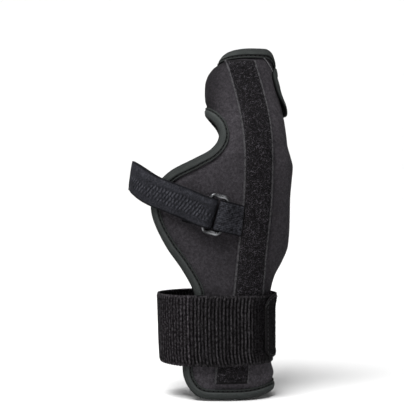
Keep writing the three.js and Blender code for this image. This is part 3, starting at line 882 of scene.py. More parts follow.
def shell_grid():
    """Rows from the hem up, each from the back panel's edge round the ulnar side to the palm panel's."""
    outline = respaced(spline(EDGE), OUTLINE_ROWS + 1)
    ends = []
    for x, z in outline:
        inset = PALM_INSET * smoothstep(WEB - z, *PALM_INSET_SPAN)
        ends.append((z, float(angle_at(x, z)), float(angle_at(x + inset, z))))
    under_z, under_angle, _ = ends[-1]
    for k in range(1, ARCH_ROWS + 1):
        share = k / ARCH_ROWS
        angle = under_angle + (180 - under_angle) * share
        ends.append((under_z + (WEB - under_z) * math.sin(share * math.pi / 2), angle, angle))
    rows = []
    for z, back, palm in ends:
        angles = spaced_angles(back, -palm, z, AROUND)
        beside = 1 - smoothstep(np.abs(angles), *HEM_RISE_SPAN)
        rise = HEM_RISE * beside * (1 - smoothstep(z, HEM_LOW, HEM_HIGH))
        rows.append(on_form(angles, z + rise))
    around = spaced_angles(180, -180, WEB, AROUND)
    top = TOP - top_drop(around)
    rows += [on_form(around, WEB + (top - WEB) * k / SLEEVE_ROWS) for k in range(1, SLEEVE_ROWS + 1)]
    return np.array(rows)


SHELL = shell_grid()
LOWER_EDGE = np.concatenate([SHELL[0], SHELL[1 : EDGE_ROWS + 1, -1], SHELL[:EDGE_ROWS, 0][::-1]])
LOWER_PATH = respaced(LOWER_EDGE, EDGE_STEPS)
UPPER_PATH = respaced(SHELL[-1][::-1], TOP_STEPS)

cover_line = spline(COVER)
COVER_LENGTH = lengths(cover_line)[-1]


def under_cover(stations, across):
    """Points of the form under the stay cover, at so many stations and at offsets across it."""
    line = respaced(cover_line, stations)
    run = unit(np.gradient(line, axis=0))
    x = line[:, :1] + np.asarray(across) / run[:, 1:]
    return on_back(x, np.broadcast_to(line[:, 1:], x.shape))


COVER_SEAMS = under_cover(SEAM_STEPS, (-COVER_WIDTH / 2, COVER_WIDTH / 2)).swapaxes(0, 1)

# Painted light and shade on the jersey by height: lighter near the hem, darkest just above the wrist strap
SHELL_PAINTED_SHADE = np.array([
    (-45, 1.3), (-22, 1.25), (25, 0.8), (48, 0.8), (72, 0.86),
    (100, 0.9), (130, 0.94), (150, 0.87), (185, 0.8),
])
painted_shell_shade = track(*SHELL_PAINTED_SHADE.T)
# Painted shadow on the sleeve's radial side
SIDE_PAINTED_SHADE = 0.35  # on the sleeve's radial side
SIDE_FROM, SIDE_TO = 0.4, 1.0  # shares of half the sleeve's width
SLEEVE_FROM, SLEEVE_TO = 132, 146


# Painted light and shade on the jersey: by height, and darker on the sleeve's radial side
def painted_jersey_shade(points):
    x, z = points[..., 0], points[..., 2]
    middle, _, half, _ = section_at(z)
    beside = smoothstep((middle - x) / half, SIDE_FROM, SIDE_TO) * smoothstep(z, SLEEVE_FROM, SLEEVE_TO)
    return painted_shell_shade(z) * (1 - (1 - SIDE_PAINTED_SHADE) * beside)


PUCKER_PITCH, PUCKER_DEPTH = 8.5, 0.2  # inside the bindings
PUCKER_INSET = 9.0
TUCK_PITCH, TUCK_DEPTH = 9.5, 0.22  # along the stay cover
TUCK_WIDTH = 3.5  # of both
TUCK_DRIFT, DRIFT_SIZE = 5.0, 30  # how unevenly they come
SWELL, SWELL_SIZE = 0.28, 24  # of the foam between them
SWELL_SPAN = 8, 16  # in from the edges


def shell():
    edges = LOWER_PATH, UPPER_PATH
    edge, run = nearest_of(edges, SHELL)
    seam, seam_run = nearest_of(COVER_SEAMS, SHELL)
    drift = TUCK_DRIFT * ripple(SHELL, DRIFT_SIZE, seed=1.0)
    pucker = 1 + np.sin(2 * math.pi * (run + drift) / PUCKER_PITCH)
    tuck = 1 + np.sin(2 * math.pi * (seam_run + drift) / TUCK_PITCH)
    relief = -PUCKER_DEPTH * pucker * np.exp(-(((edge - PUCKER_INSET) / TUCK_WIDTH) ** 2))
    relief -= TUCK_DEPTH * tuck * np.exp(-((seam / TUCK_WIDTH) ** 2))
    relief += SWELL * ripple(SHELL, SWELL_SIZE, seed=3.0) * smoothstep(edge, *SWELL_SPAN)
    bm = bent_grid(SHELL, across=np.array([lengths(row) for row in SHELL]), shade=painted_jersey_shade(SHELL))
    embossed(bm, relief)
    closed_up(bm)
    obj = piece("shell", bm, SHELL_CLOTH, "shell")
    # Points were merged where the sleeve closes, so the wall is worked out from the mesh.
    near, _ = nearest_of(edges, np.array([vert.co for vert in obj.data.vertices]) / MM)
    wall = SHELL_EDGE + (SHELL_WALL - SHELL_EDGE) * smoothstep(near, PINCH_FROM, PINCH_TO)
    thickened(obj, SHELL_WALL, 0, wall / SHELL_WALL)


# Bindings
# Half of a folded tape: share of its reach inside the edge, rise from the fold's half height, and painted
# shade (near black in the sewn groove and at the edge, lightest on the ridge beside the groove)
TAPE_LEG = np.array([
    (1.00, -0.62, 0.1), (0.98, -0.48, 0.6), (0.95, -0.44, 0.75), (0.92, -0.50, 0.4), (0.88, -0.68, 0.0),
    (0.82, -0.78, 0.0), (0.74, -0.78, 0.0), (0.67, -0.64, 0.0), (0.60, -0.24, 0.2), (0.54, 0.06, 1.0),
    (0.44, 0.18, 1.0), (0.31, 0.20, 0.87), (0.18, 0.14, 0.78), (0.08, 0.05, 0.7), (0.00, 0.00, 0.66),
])
NOSE_TURNS = np.linspace(0, math.pi, 11)[1:-1]
STITCH_SHARE, STITCH_DROP = 0.77, -0.78
STITCH_PULL = 0.07  # how far a stitch draws the groove in
STITCH_BAND = 0.12  # share of the reach over which it does
STITCH_PROUD = 0.08
TAPE_SAG, SAG_SIZE = 0.1, 13
SEWN_BELOW = -0.2  # rise under which the tape is held by its stitches and doesn't sag
# Below FULL_TONE the tape takes the jersey's painted shade; NOSE_SHADE gives painted shade under the fold's
# nose
FULL_TONE = 0.95  # tone of the jersey from which the tape beside it is unshaded
NOSE_SHADE = 0.4, 1.4  # turn over which the fold goes dark


def square_ways(path, closed):
    """Directions out of a sheet, square to its edge."""
    reach = 2
    if closed:
        ring = path[:-1]
        ahead = np.roll(ring, -reach, axis=0) - np.roll(ring, reach, axis=0)
        ahead = np.concatenate([ahead, ahead[:1]])
    else:
        ahead = np.gradient(path, axis=0)
    return unit(np.cross(ahead, outward(path)))


def folded_tape(name, path, ways, reach, closed, lift=0.0, thickness=SHELL_EDGE, tape=TAPE, gap=TAPE_GAP):
    """A tape folded over an edge and sewn down, with its two rows of stitches."""
    fold = thickness / 2 + gap + tape / 2
    run = lengths(path)
    sag = 1 + TAPE_SAG * ripple(path, SAG_SIZE, seed=5.0)
    pull = STITCH_PULL * np.cos(2 * math.pi * run / STITCH_PITCH)
    faces = {1: [], -1: []}
    for face, columns in faces.items():
        for share, rise, _ in TAPE_LEG:
            swell = sag if rise > SEWN_BELOW else 1.0
            by_stitch = math.exp(-(((share - STITCH_SHARE) / STITCH_BAND) ** 2))
            height = fold * swell + rise * gap / TAPE_GAP + pull * by_stitch
            columns.append(laid(path - ways * (share * reach), lift + face * height))
    nose = []
    for turn in NOSE_TURNS:
        way = outward(path) * math.cos(turn) + ways * math.sin(turn)
        nose.append(raised(path, lift) + way * (fold * sag)[:, None])
    places = np.stack(faces[1] + nose + faces[-1][::-1], axis=1)
    # painted shade under the nose, along the groove, and by height as on the jersey
    under = TAPE_LEG[-1, 2] * (1 - smoothstep(NOSE_TURNS, *NOSE_SHADE))
    shade = np.concatenate([TAPE_LEG[:, 2], under, TAPE_LEG[::-1, 2]])
    tone = np.minimum(painted_shell_shade(path[:, 2]) / FULL_TONE, 1)
    bm = bent_grid(places, shade=tone[:, None] * shade[None, :])
    if closed:
        closed_up(bm)
    obj = piece(name, bm, BINDING_CLOTH, name)
    thickened(obj, tape, 0)
    groove = path - ways * (STITCH_SHARE * reach)
    deep = fold + STITCH_DROP * gap / TAPE_GAP + tape / 2 + STITCH_PROUD
    rows = [laid(groove, lift + face * deep) for face in (1, -1)]
    sewn = stitches(name + "_stitches", rows, DARK_THREAD)


def bindings():
    folded_tape("edge_binding", LOWER_PATH, square_ways(LOWER_PATH, True), TAPE_REACH, True)
    below = respaced(SHELL[-2][::-1], TOP_STEPS)
    folded_tape("top_binding", UPPER_PATH, unit(UPPER_PATH - below), TOP_TAPE_REACH, True)


# Stay cover
COVER_ROWS = 230
COVER_COLUMNS = 47
COVER_SPREAD = 0.16  # wider at its foot, by this share
COVER_SPREAD_SPAN = 8, 26  # along it
COVER_CROWN_SPAN = 0.8, 4.6  # in from its sides
COVER_END_SPAN = 0, 5  # in from its ends
COVER_WAVES, COVER_WAVE_SIZE = 0.16, 11
COVER_PILE_INSET = 1.75
COVER_SEAM_INSET = 0.75


def stay_cover():
    edge = COVER_WIDTH / 2
    across = np.linspace(-edge, edge, COVER_COLUMNS)
    off = np.abs(across)
    run = np.linspace(0, COVER_LENGTH, COVER_ROWS)
    spread = 1 + COVER_SPREAD * (1 - smoothstep(run, *COVER_SPREAD_SPAN))
    form = under_cover(COVER_ROWS, across[None, :] * spread[:, None])
    crown = (COVER_RISE - COVER_HEM) * smoothstep(edge - off, *COVER_CROWN_SPAN)
    ends = smoothstep(np.minimum(run, COVER_LENGTH - run), *COVER_END_SPAN)
    lift = SHELL_WALL / 2 + CLEARANCE + COVER_HEM + crown[None, :] * ends[:, None]
    within = (off < edge - COVER_HEM_WIDTH)[None, :]
    lift = lift + COVER_WAVES * ripple(form, COVER_WAVE_SIZE, seed=7.0) * within
    places = raised(form, lift)
    bm = bent_grid(places, across=(across + edge)[None, :], along=run[:, None])
    obj = piece("stay_cover", bm, COVER_CLOTH, "stay_cover")
    thickened(obj, COVER_HEM, -1, rim=0.25)
    inside = np.nonzero(off < edge - COVER_PILE_INSET)[0]
    ground = bent_grid(places[2:-2, inside[0] : inside[-1] + 1])
    loops = pile("stay_pile", ground, LOOP_CLOTH, spacing=0.84, radius=0.48, yarn=0.19, seed=11)
    seams = [np.argmin(np.abs(across - side * (edge - COVER_SEAM_INSET))) for side in (-1, 1)]
    rows = [raised(places[:, column], 0.06) for column in seams]
    sewn = stitches("stay_stitches", rows, HEM_THREAD, pitch=2.9, length=2.2, width=0.4)


# Ring and its frame: run along the strap, bar along the ring's bars, up out of the form
RING_SEAT = on_back(RING_X, RING_Z)
FOLD_HALF = WIRE / 2 + CLEARANCE + STRAP / 2
TAB_FOLD_HALF = WIRE / 2 + CLEARANCE + TAB / 2
RING_LIFT = SHELL_WALL / 2 + CLEARANCE + STRAP / 2 + FOLD_HALF
BAR_OFFSET = (RING_SHORT - WIRE) / 2
END_OFFSET = (RING_LONG - WIRE) / 2
RING_UP = outward(RING_SEAT)
LEAN = math.radians(RING_TILT)
LEVEL_RUN = np.array([-math.cos(LEAN), 0, math.sin(LEAN)])
RING_RUN = unit(LEVEL_RUN - RING_UP * (LEVEL_RUN @ RING_UP))
RING_BAR = np.cross(RING_UP, RING_RUN)
RING_CENTRE = RING_SEAT + RING_UP * RING_LIFT
RING_SWELL = 0.12  # its ends are stouter than its bars
# Painted highlight on the ring: the polish here is the strength of its reflections, set by place along its
# ends
UNHIGHLIGHTED_SHARE = 0.06  # of the ring's polish that is left everywhere
HIGHLIGHT_AT, HIGHLIGHT_WIDTH = -1.6, 2.8
CORNER_HIGHLIGHT, CORNER_SPAN = 0.6, (4.4, 5.6)


def in_ring(run, bar, up):
    run, bar, up = (np.asarray(v, float)[..., None] for v in (run, bar, up))
    return RING_CENTRE + RING_RUN * run + RING_BAR * bar + RING_UP * up


def ring_painted_highlight(run):
    """Painted highlight of the ring along its ends: strength of its reflections, bright past the middle and
    again at the outer corner.
    """
    bright = math.exp(-(((run - HIGHLIGHT_AT) / HIGHLIGHT_WIDTH) ** 2))
    corner = CORNER_HIGHLIGHT * float(smoothstep(run, *CORNER_SPAN))
    return UNHIGHLIGHTED_SHARE + (1 - UNHIGHLIGHTED_SHARE) * max(bright, corner)


def ring():
    """A wire drawn along two bars and two ends and turned at the corners."""
    long_half = END_OFFSET - RING_CORNER
    short_half = BAR_OFFSET - RING_CORNER
    bm = bmesh.new()
    start = Matrix.Translation((BAR_OFFSET, -long_half, 0)) @ Matrix.Rotation(math.pi / 2, 4, "X")
    made = bmesh.ops.create_circle(bm, segments=20, radius=WIRE / 2, matrix=start)
    edges = edges_of(made["verts"])
    for x, y, way in (
        (short_half, long_half, (0, 2 * long_half, 0)),
        (-short_half, long_half, (-2 * short_half, 0, 0)),
        (-short_half, -long_half, (0, -2 * long_half, 0)),
        (short_half, -long_half, (2 * short_half, 0, 0)),
    ):
        pulled = bmesh.ops.extrude_edge_only(bm, edges=edges)["geom"]
        verts = [g for g in pulled if isinstance(g, bmesh.types.BMVert)]
        bmesh.ops.translate(bm, verts=verts, vec=way)
        turned = bmesh.ops.spin(
            bm,
            geom=edges_in(pulled),
            cent=(x, y, 0),
            axis=(0, 0, 1),
            angle=math.pi / 2,
            steps=8,
        )["geom_last"]
        edges = edges_in(turned)
    bmesh.ops.remove_doubles(bm, verts=bm.verts, dist=0.001)
    bmesh.ops.recalc_face_normals(bm, faces=bm.faces)
    # painted highlight strength, carried in the shade attribute
    shade = bm.verts.layers.float.new("shade")
    for vert in bm.verts:
        x, y, z = vert.co
        vert[shade] = ring_painted_highlight(x)
        end = RING_SWELL * float(smoothstep(abs(y), long_half, END_OFFSET))
        y = math.copysign(END_OFFSET + (abs(y) - END_OFFSET) * (1 + end), y) if end else y
        vert.co = Vector(in_ring(x, y, z * (1 + end))) * MM
    piece("ring", bm, RING_PLASTIC, "ring")


FOLD_ROWS = 22


def fold_steps(which, half):
    """Middle line of a fold round a ring bar, from under the bar to over it."""
    turn = math.pi * (np.linspace(0, 1, FOLD_ROWS) - 0.5)
    return which * (BAR_OFFSET - FOLD_SLACK * np.cos(turn)), half * np.sin(turn)


# Hand strap
RETURN_ROWS = 30
STRAP_ROWS = 620
STRAP_COLUMNS = 53
STRAIGHT_FROM, STRAIGHT_TO = 42, 52  # on the radial side, where the strap leaves the form
# Rows of slits: middle, up from the strap's, and the stretch from the ring over which the row shows
SLIT_ROWS = ((2.4, 4, 38), (-0.7, 0, 74), (-3.8, 2, 50))
SLIT_PITCH = 2.3
SLIT_SLANT = 0.08
SLIT_WANDER = 0.12
SLIT_DEPTH = 0.36
SLIT_STRENGTH, SLIT_HALF, SLIT_SHIFT = (0.25, 1.25), (0.9, 1.7), (-0.6, 0.6)  # least and most
SLIT_OPENING = 0.05
# Painted shade in the slits and a painted highlight on the bridges between them
SLIT_DARK, BRIDGE_PALE = 0.72, 0.5
SLITS_COME, SLITS_GO = 6, 8  # lengths over which a row starts and stops
SLIT_TRACE = 0.2  # of a row beyond its stretch
STRAP_SHADE = 0.57
WANDER_SHADE, WANDER_SIZE = 0.1, 5
FLECK_SHADE, FLECK_SIZE = 0.25, 1.1
MARGIN_SHADE, LOW_MARGIN_SHARE = 0.16, 0.4
HIGH_MARGIN, LOW_MARGIN = (4.6, 5.8), (5.8, 7.0)  # from the strap's middle
# Painted shade along the strap's edges
EDGE_PAINTED_SHADE, EDGE_SHADE_SPAN = 0.45, (-1.3, -0.5)  # from its edge
# Painted shade on the strap by the ring
NEAR_RING_SHADE, NEAR_RING_SPAN = 0.07, (8, 26)
STRAP_WAVES, STRAP_WAVE_SIZE = 0.10, 9
BOX_ROWS = slice(-40, -4)  # where the strap's end is sewn down
BOX_INSET = 4


def strap_route():
    """Rows of points across the hand strap, from its sewn return to its end on the palm panel."""
    bars = np.linspace(-STRAP_WIDTH / 2, STRAP_WIDTH / 2, STRAP_COLUMNS)
    back = np.linspace(BAR_OFFSET + RETURN_LENGTH, BAR_OFFSET, RETURN_ROWS)
    low = SHELL_WALL / 2 + CLEARANCE + STRAP / 2
    under = laid(in_ring(back[:, None], bars[None, :], -RING_LIFT), low)
    run, up = fold_steps(1, FOLD_HALF)
    fold = in_ring(run[1:, None], bars[None, :], up[1:, None])
    mirrored = [(360 - angle, z, lift) for angle, z, lift in HAND_STRAP[2:-1][::-1]]
    stops = np.array(HAND_STRAP + mirrored + PALM_ANCHOR, float)
    knots = raised(on_form(stops[:, 0], stops[:, 1]), stops[:, 2] + STRAP / 2)
    knots = np.concatenate([[in_ring(run[-1], 0, up[-1])], knots])
    line = respaced(taut_line(knots), STRAP_ROWS)
    ahead = unit(np.gradient(line, axis=0))
    across = unit(np.cross(outward(line), ahead))
    lift = np.linalg.norm(line - settled(line), axis=1) * np.sign(level(line))
    spread = line[:, None] + across[:, None] * bars[None, :, None]
    over = laid(spread, lift[:, None])
    straight = STRAP_STRAIGHT * smoothstep(-line[:, 0], STRAIGHT_FROM, STRAIGHT_TO)
    over = over + (spread - over) * straight[:, None, None]
    return np.concatenate([under, fold, over[1:]])[:, ::-1], bars


def hand_strap():
    places, bars = strap_route()
    edge = STRAP_WIDTH / 2
    run = lengths(places[:, len(bars) // 2])
    past_ring = run - run[RETURN_ROWS + FOLD_ROWS - 2]
    wander = ripple(places, WANDER_SIZE, seed=8.0)
    fleck = ripple(places, FLECK_SIZE, seed=6.4)
    margins = smoothstep(bars, *HIGH_MARGIN) + LOW_MARGIN_SHARE * smoothstep(-bars, *LOW_MARGIN)
    selvedge = smoothstep(np.abs(bars) - edge, *EDGE_SHADE_SPAN)
    # painted shade along the strap's edges
    plain = MARGIN_SHADE * margins - EDGE_PAINTED_SHADE * selvedge
    # painted shade by the ring
    by_ring = NEAR_RING_SHADE * (1 - smoothstep(past_ring, *NEAR_RING_SPAN))
    shade = STRAP_SHADE + WANDER_SHADE * wander + FLECK_SHADE * fleck + plain[None, :] - by_ring[:, None]
    relief = STRAP_WAVES * ripple(places, STRAP_WAVE_SIZE, seed=9.0)
    draw = np.random.default_rng(9)
    for k, (centre, first, last) in enumerate(SLIT_ROWS):
        slant = SLIT_SLANT * (bars - centre)
        turn = run[:, None] / SLIT_PITCH + 0.5 * (k % 2) + slant[None, :] + SLIT_WANDER * wander
        number = np.floor(turn + 0.5).astype(int)
        strength, half, shift = (
            draw.uniform(*span, number.max() + 1)[number] for span in (SLIT_STRENGTH, SLIT_HALF, SLIT_SHIFT)
        )
        band = np.exp(-((np.abs(bars[None, :] - centre - shift) / half) ** 4))
        come = smoothstep(past_ring, first - SLITS_COME, first)
        shown = come * (1 - smoothstep(past_ring, last, last + SLITS_GO))
        wave = np.cos(2 * math.pi * turn)
        weight = band * (SLIT_TRACE + (1 - SLIT_TRACE) * shown[:, None]) * strength
        slit = np.clip(wave + SLIT_OPENING, 0, 1) * weight
        relief -= SLIT_DEPTH * slit
        # painted shade in each slit, painted highlight on the bridges between slits
        shade = shade - SLIT_DARK * slit + BRIDGE_PALE * np.clip(-wave, 0, 1) * weight
    bm = bent_grid(places, across=(bars + edge)[None, :], along=run[:, None], shade=shade)
    embossed(bm, relief)
    obj = piece("hand_strap", bm, STRAP_CLOTH, "hand_strap")
    thickened(obj, STRAP, 0, rim=0.3)
    left, right = BOX_INSET, len(bars) - 1 - BOX_INSET
    top, end = places[BOX_ROWS], places[BOX_ROWS.stop]
    box = np.concatenate([top[:, left], end[left:right], end[None, right], top[:0:-1, right]])
    sewn = stitches("strap_stitches", [raised(box, STRAP / 2 + 0.1)], DARK_THREAD, width=0.6)


TAB_ROWS = 12
TAB_COLUMNS = 41
TAB_LAP = CLEARANCE + 1.4  # of its upper layer on the cover's hem
TAB_LAID = 0.9  # share of the way to the bar up to which its layers are laid on the form
TAB_RISE_SPAN = 0.1, 1.0
TAB_WAVES, TAB_WAVE_SIZE = 0.08, 6


def ring_tab():
    bars = np.linspace(-STRAP_WIDTH / 2, STRAP_WIDTH / 2, TAB_COLUMNS)
    low = SHELL_WALL / 2 + CLEARANCE + TAB / 2
    high = low + TAB + CLEARANCE
    crest = RING_LIFT + TAB_FOLD_HALF
    heights = in_ring(-BAR_OFFSET, bars, 0)[:, 2]
    side = COVER_SEAMS[0]
    edge = np.stack([np.interp(heights, side[:, 2], column) for column in side.T], axis=1)
    starts = (edge - RING_CENTRE) @ RING_RUN + CLEARANCE

    def layer(share, lift, lap=0.0):
        run = starts - lap + (lap - BAR_OFFSET - starts) * share
        return laid(in_ring(run, bars, -RING_LIFT), lift)

    shares = np.linspace(0, TAB_LAID, TAB_ROWS)
    bottom = [layer(share, low) for share in shares]
    fold = [in_ring(run, bars, up) for run, up in zip(*fold_steps(-1, TAB_FOLD_HALF))]
    rises = high + (crest - high) * smoothstep(shares, *TAB_RISE_SPAN)
    top = [layer(share, rise, TAB_LAP) for share, rise in zip(shares[::-1], rises[::-1])]
    places = np.array(bottom + fold + top)
    run = lengths(places[:, len(bars) // 2])
    bm = bent_grid(places, across=(bars + STRAP_WIDTH / 2)[None, :], along=run[:, None])
    embossed(bm, TAB_WAVES * ripple(places, TAB_WAVE_SIZE, seed=12.0))
    obj = piece("ring_tab", bm, TAB_CLOTH, "ring_tab")
    thickened(obj, TAB, 0, rim=0.25)


# Wrist strap
RIB_PITCH = 2.25
WRIST_COLUMNS = 1080
WRIST_LOW_HEM, WRIST_HIGH_HEM = 1.9, 2.2  # smooth selvedges
RIBS_FROM, RIBS_TO = (40, 56), (300, 318)  # degrees over which the ribs come and go
RIBS_FADE, FADED_SHARE = (114, 120), 0.35
RIB_WANDER, RIB_WANDER_SIZE = 0.22, 16
RIB_POWER = 2.2
HEM_INSIDE = 0.4, 0.95  # shares of the selvedge's width
HEM_ROLL, HEM_ROLL_SPAN = 0.35, (0.0, 0.45)
HEM_HANG, HEM_HANG_SPAN = 0.35, (0, 1.5)  # of each rib under the low edge
ELASTIC_WAVES, ELASTIC_WAVE_SIZE = 0.12, 7
PLAIN_SHADE, HEM_SHADE = 0.36, 0.62
# Painted highlight on the ribs' crests and painted shade, near black, in the gaps between them
CORD_SHADE, CREST_SHADE, CREST_WIDTH = 0.44, 0.38, 0.2
CORD_STRENGTH = 0.4, 1.0  # least and most
GAP_SPAN = 0.25, 0.43  # shares of a rib's pitch
GAP_OPEN, GAP_UNEVEN, GAP_LEAST = 0.85, 1.6, 0.1
STREAK_SHADE, STREAK_WIDTH, STREAK_HEIGHT = 0.12, 1.1, 9
BRUSHED_LAP, BRUSHED_TO = 4, 52  # degrees under the tab, and round to here
BRUSHED_ROWS = slice(6, -5)
WRIST_TAB_ROWS = 64
WRIST_TAB_COLUMNS = 90
WRIST_TAB_GAP = 2.3 * CLEARANCE  # over the ribs
WRIST_TAB_DROP, WRIST_TAB_DROP_SPAN = 0.45, (0, 2.2)  # at its edges
WRIST_TAB_WAVES, WRIST_TAB_WAVE_SIZE = 0.2, 12


def wrist_strap():
    angles = spaced_angles(360, 0, 0, WRIST_COLUMNS)
    low = WRIST_LOW + np.array([0, 0.35, 0.8, 1.3, WRIST_LOW_HEM])
    high = WRIST_HIGH - np.array([WRIST_HIGH_HEM, 1.7, 1.2, 0.8, 0.4, 0])
    heights = np.concatenate([low, np.linspace(low[-1], high[0], 24)[1:-1], high])
    middle = raised(on_form(angles, 0), wrist_rise(angles))
    around = lengths(middle[::-1])[::-1]
    ribbed = smoothstep(angles, *RIBS_FROM) * (1 - FADED_SHARE * smoothstep(angles, *RIBS_FADE))
    ribbed = ribbed * (1 - smoothstep(angles, *RIBS_TO))
    form = on_form(angles[None, :], heights[:, None])
    phase = (around[None, :] + RIB_WANDER * ripple(form, RIB_WANDER_SIZE, seed=14.0)) / RIB_PITCH
    rib = np.floor(phase).astype(int)
    turn = np.abs(phase - rib - 0.5)
    strong = np.random.default_rng(5).uniform(*CORD_STRENGTH, rib.max() + 1)[rib]
    ridge = 1 - (2 * turn) ** RIB_POWER
    inset = np.minimum((heights - WRIST_LOW) / WRIST_LOW_HEM, (WRIST_HIGH - heights) / WRIST_HIGH_HEM)
    body = smoothstep(inset, *HEM_INSIDE)[:, None]
    rolled = -HEM_ROLL * (1 - smoothstep(inset, *HEM_ROLL_SPAN))[:, None]
    relief = RIB * ridge * ribbed[None, :] * body + rolled
    relief += ELASTIC_WAVES * ripple(form, ELASTIC_WAVE_SIZE, seed=15.0)
    hang = HEM_HANG * ridge * (1 - smoothstep(heights - WRIST_LOW, *HEM_HANG_SPAN))[:, None]
    lift = wrist_rise(angles)[None, :] + ELASTIC + relief
    places = raised(on_form(angles[None, :], heights[:, None] - hang), lift)
    along, up = around[None, :] / STREAK_WIDTH, heights[:, None] / STREAK_HEIGHT
    drawn = np.stack(np.broadcast_arrays(along, up, 0.0), axis=-1)
    streak = ripple(drawn, 1, seed=3.3)
    open_share = np.clip(GAP_OPEN + GAP_UNEVEN * ripple(drawn * (1, 2, 1), 1, seed=6.1), GAP_LEAST, 1)
    # painted shade in the gaps between ribs, painted highlight on their crests
    gap = smoothstep(turn, *GAP_SPAN) * open_share
    crest = CREST_SHADE * strong * np.exp(-((turn / CREST_WIDTH) ** 2))
    cords = (CORD_SHADE + crest) * (1 - gap)
    shade = PLAIN_SHADE + (cords - PLAIN_SHADE) * ribbed[None, :] + STREAK_SHADE * streak * (1 - gap)
    shade = shade + (HEM_SHADE - shade) * (1 - body)
    bm = bent_grid(places, across=around[None, :], along=(heights - WRIST_LOW)[:, None], shade=shade)
    closed_up(bm)
    obj = piece("wrist_strap", bm, ELASTIC_CLOTH, "wrist_strap")
    thickened(obj, ELASTIC, -1, rim=0.3)
    brushed = np.nonzero((angles > WRIST_TAB_TO - BRUSHED_LAP) & (angles < BRUSHED_TO))[0]
    ground = bent_grid(places[BRUSHED_ROWS, brushed[0] : brushed[-1] + 1])
    fuzz = pile("wrist_pile", ground, DARK_LOOPS, spacing=0.95, radius=0.4, yarn=0.14, seed=31)


def wrist_tab():
    angles = spaced_angles(WRIST_TAB_TO, WRIST_TAB_FROM, 0, WRIST_TAB_COLUMNS)
    run = lengths(on_form(angles, 0))
    middle, half = (WRIST_TAB_LOW + WRIST_TAB_HIGH) / 2, (WRIST_TAB_HIGH - WRIST_TAB_LOW) / 2
    past = np.clip(1 - run / WRIST_TAB_CORNER, 0, 1)
    inset = WRIST_TAB_CORNER * (1 - np.sqrt(1 - past * past))
    shares = np.linspace(-1, 1, WRIST_TAB_ROWS)
    z = middle + (half - inset)[None, :] * shares[:, None]
    form = on_form(angles[None, :], z)
    edge = np.minimum(half * (1 - np.abs(shares))[:, None], run[None, :])
    lift = wrist_rise(angles % 360) + ELASTIC + RIB + WRIST_TAB_GAP + WRIST_TAB
    lift = lift[None, :] - WRIST_TAB_DROP * (1 - smoothstep(edge, *WRIST_TAB_DROP_SPAN))
    lift = lift + WRIST_TAB_WAVES * ripple(form, WRIST_TAB_WAVE_SIZE, seed=17.0)
    places = raised(form, lift)
    bm = bent_grid(places, across=run[None, :], along=(z - WRIST_TAB_LOW))
    obj = piece("wrist_tab", bm, HOOK_CLOTH, "wrist_tab")
    thickened(obj, WRIST_TAB, -1, rim=0.3)
    ground = bent_grid(places[3:-3, 4:-1])
    loops = pile("tab_pile", ground, DARK_LOOPS, spacing=0.9, radius=0.42, yarn=0.14, seed=23)
    line = raised(np.concatenate([places[-3, ::-1], places[-3:2:-1, 3], places[2, 3:]]), 0.12)
    sewn = stitches("tab_stitches", [line], DARK_THREAD, pitch=2.8, length=2.2, width=0.5)


# Finger flap
FLAP_ROWS = 61
FLAP_COLUMNS = 56
FLAP_EDGE_STEPS = 170
FLAP_TAPED = 0.7  # share of its width up to which its long edges have tape
FLAP_DEGREE = 0.25  # millimetres for a degree, to draw its end in a plane
FLAP_DRAW = 5  # power with which it narrows from its end
FLAP_CORNER_SPAN = 141, 157
FLAP_TOP_DROP = 1.0  # how much closer it lies where its top meets the sleeve's binding
FLAP_TOP_SPAN = 158, 170
FLAP_WAVES, FLAP_WAVE_SIZE = 0.2, 14
FLAP_WAVE_SPAN = 3, 8  # in from its taped edge
FLAP_SEAM_COLUMNS = -2, -6


def flap_lift(z):
    corner = FLAP_CORNER_LIFT * (1 - smoothstep(z, *FLAP_CORNER_SPAN))
    return FLAP_LIFT + corner - FLAP_TOP_DROP * smoothstep(z, *FLAP_TOP_SPAN)


def finger_flap():
    shares = np.linspace(0, 1, FLAP_COLUMNS + 1)
    rows = []
    end = spline([(angle * FLAP_DEGREE, z) for z, angle in FLAP_END])
    for x, z in respaced(end, FLAP_ROWS):
        root = FLAP_LOW + (z - FLAP_LOW) * FLAP_NARROWS
        heights = root + (z - root) * (1 - shares) ** FLAP_DRAW
        rows.append(on_form(spaced_angles(x / FLAP_DEGREE, FLAP_ROOT, z, FLAP_COLUMNS), heights))
    grid = np.array(rows)
    taped = int(FLAP_TAPED * FLAP_COLUMNS) + 1
    edge = np.concatenate([grid[-1, 1:taped][::-1], grid[::-1, 0], grid[0, 1:taped]])
    path = respaced(edge, FLAP_EDGE_STEPS)
    near, _ = nearest_on(path, grid)
    sewn_down = smoothstep(shares, FLAP_TAPED, 1)
    loose = flap_lift(grid[..., 2])
    lift = loose + (FLAP_ROOT_LIFT - loose) * sewn_down[None, :]
    free = smoothstep(near, *FLAP_WAVE_SPAN) * (1 - sewn_down)[None, :]
    lift = lift + FLAP_WAVES * ripple(grid, FLAP_WAVE_SIZE, seed=21.0) * free
    # painted light and shade as on the jersey
    bm = bent_grid(raised(grid, lift), shade=painted_jersey_shade(grid))
    obj = piece("finger_flap", bm, SHELL_CLOTH, "finger_flap")
    thickened(obj, FLAP, 0, rim=0.3)
    folded_tape(
        "flap_binding",
        path,
        square_ways(path, False),
        FLAP_TAPE_REACH,
        closed=False,
        lift=flap_lift(path[:, 2]),
        thickness=FLAP,
        tape=FLAP_TAPE,
        gap=FLAP_TAPE_GAP,
    )
    seams = [raised(grid[1:-1, column], lift[1:-1, column] + FLAP / 2 + 0.1) for column in FLAP_SEAM_COLUMNS]
    sewn = stitches("flap_stitches", seams, DARK_THREAD, width=0.6)


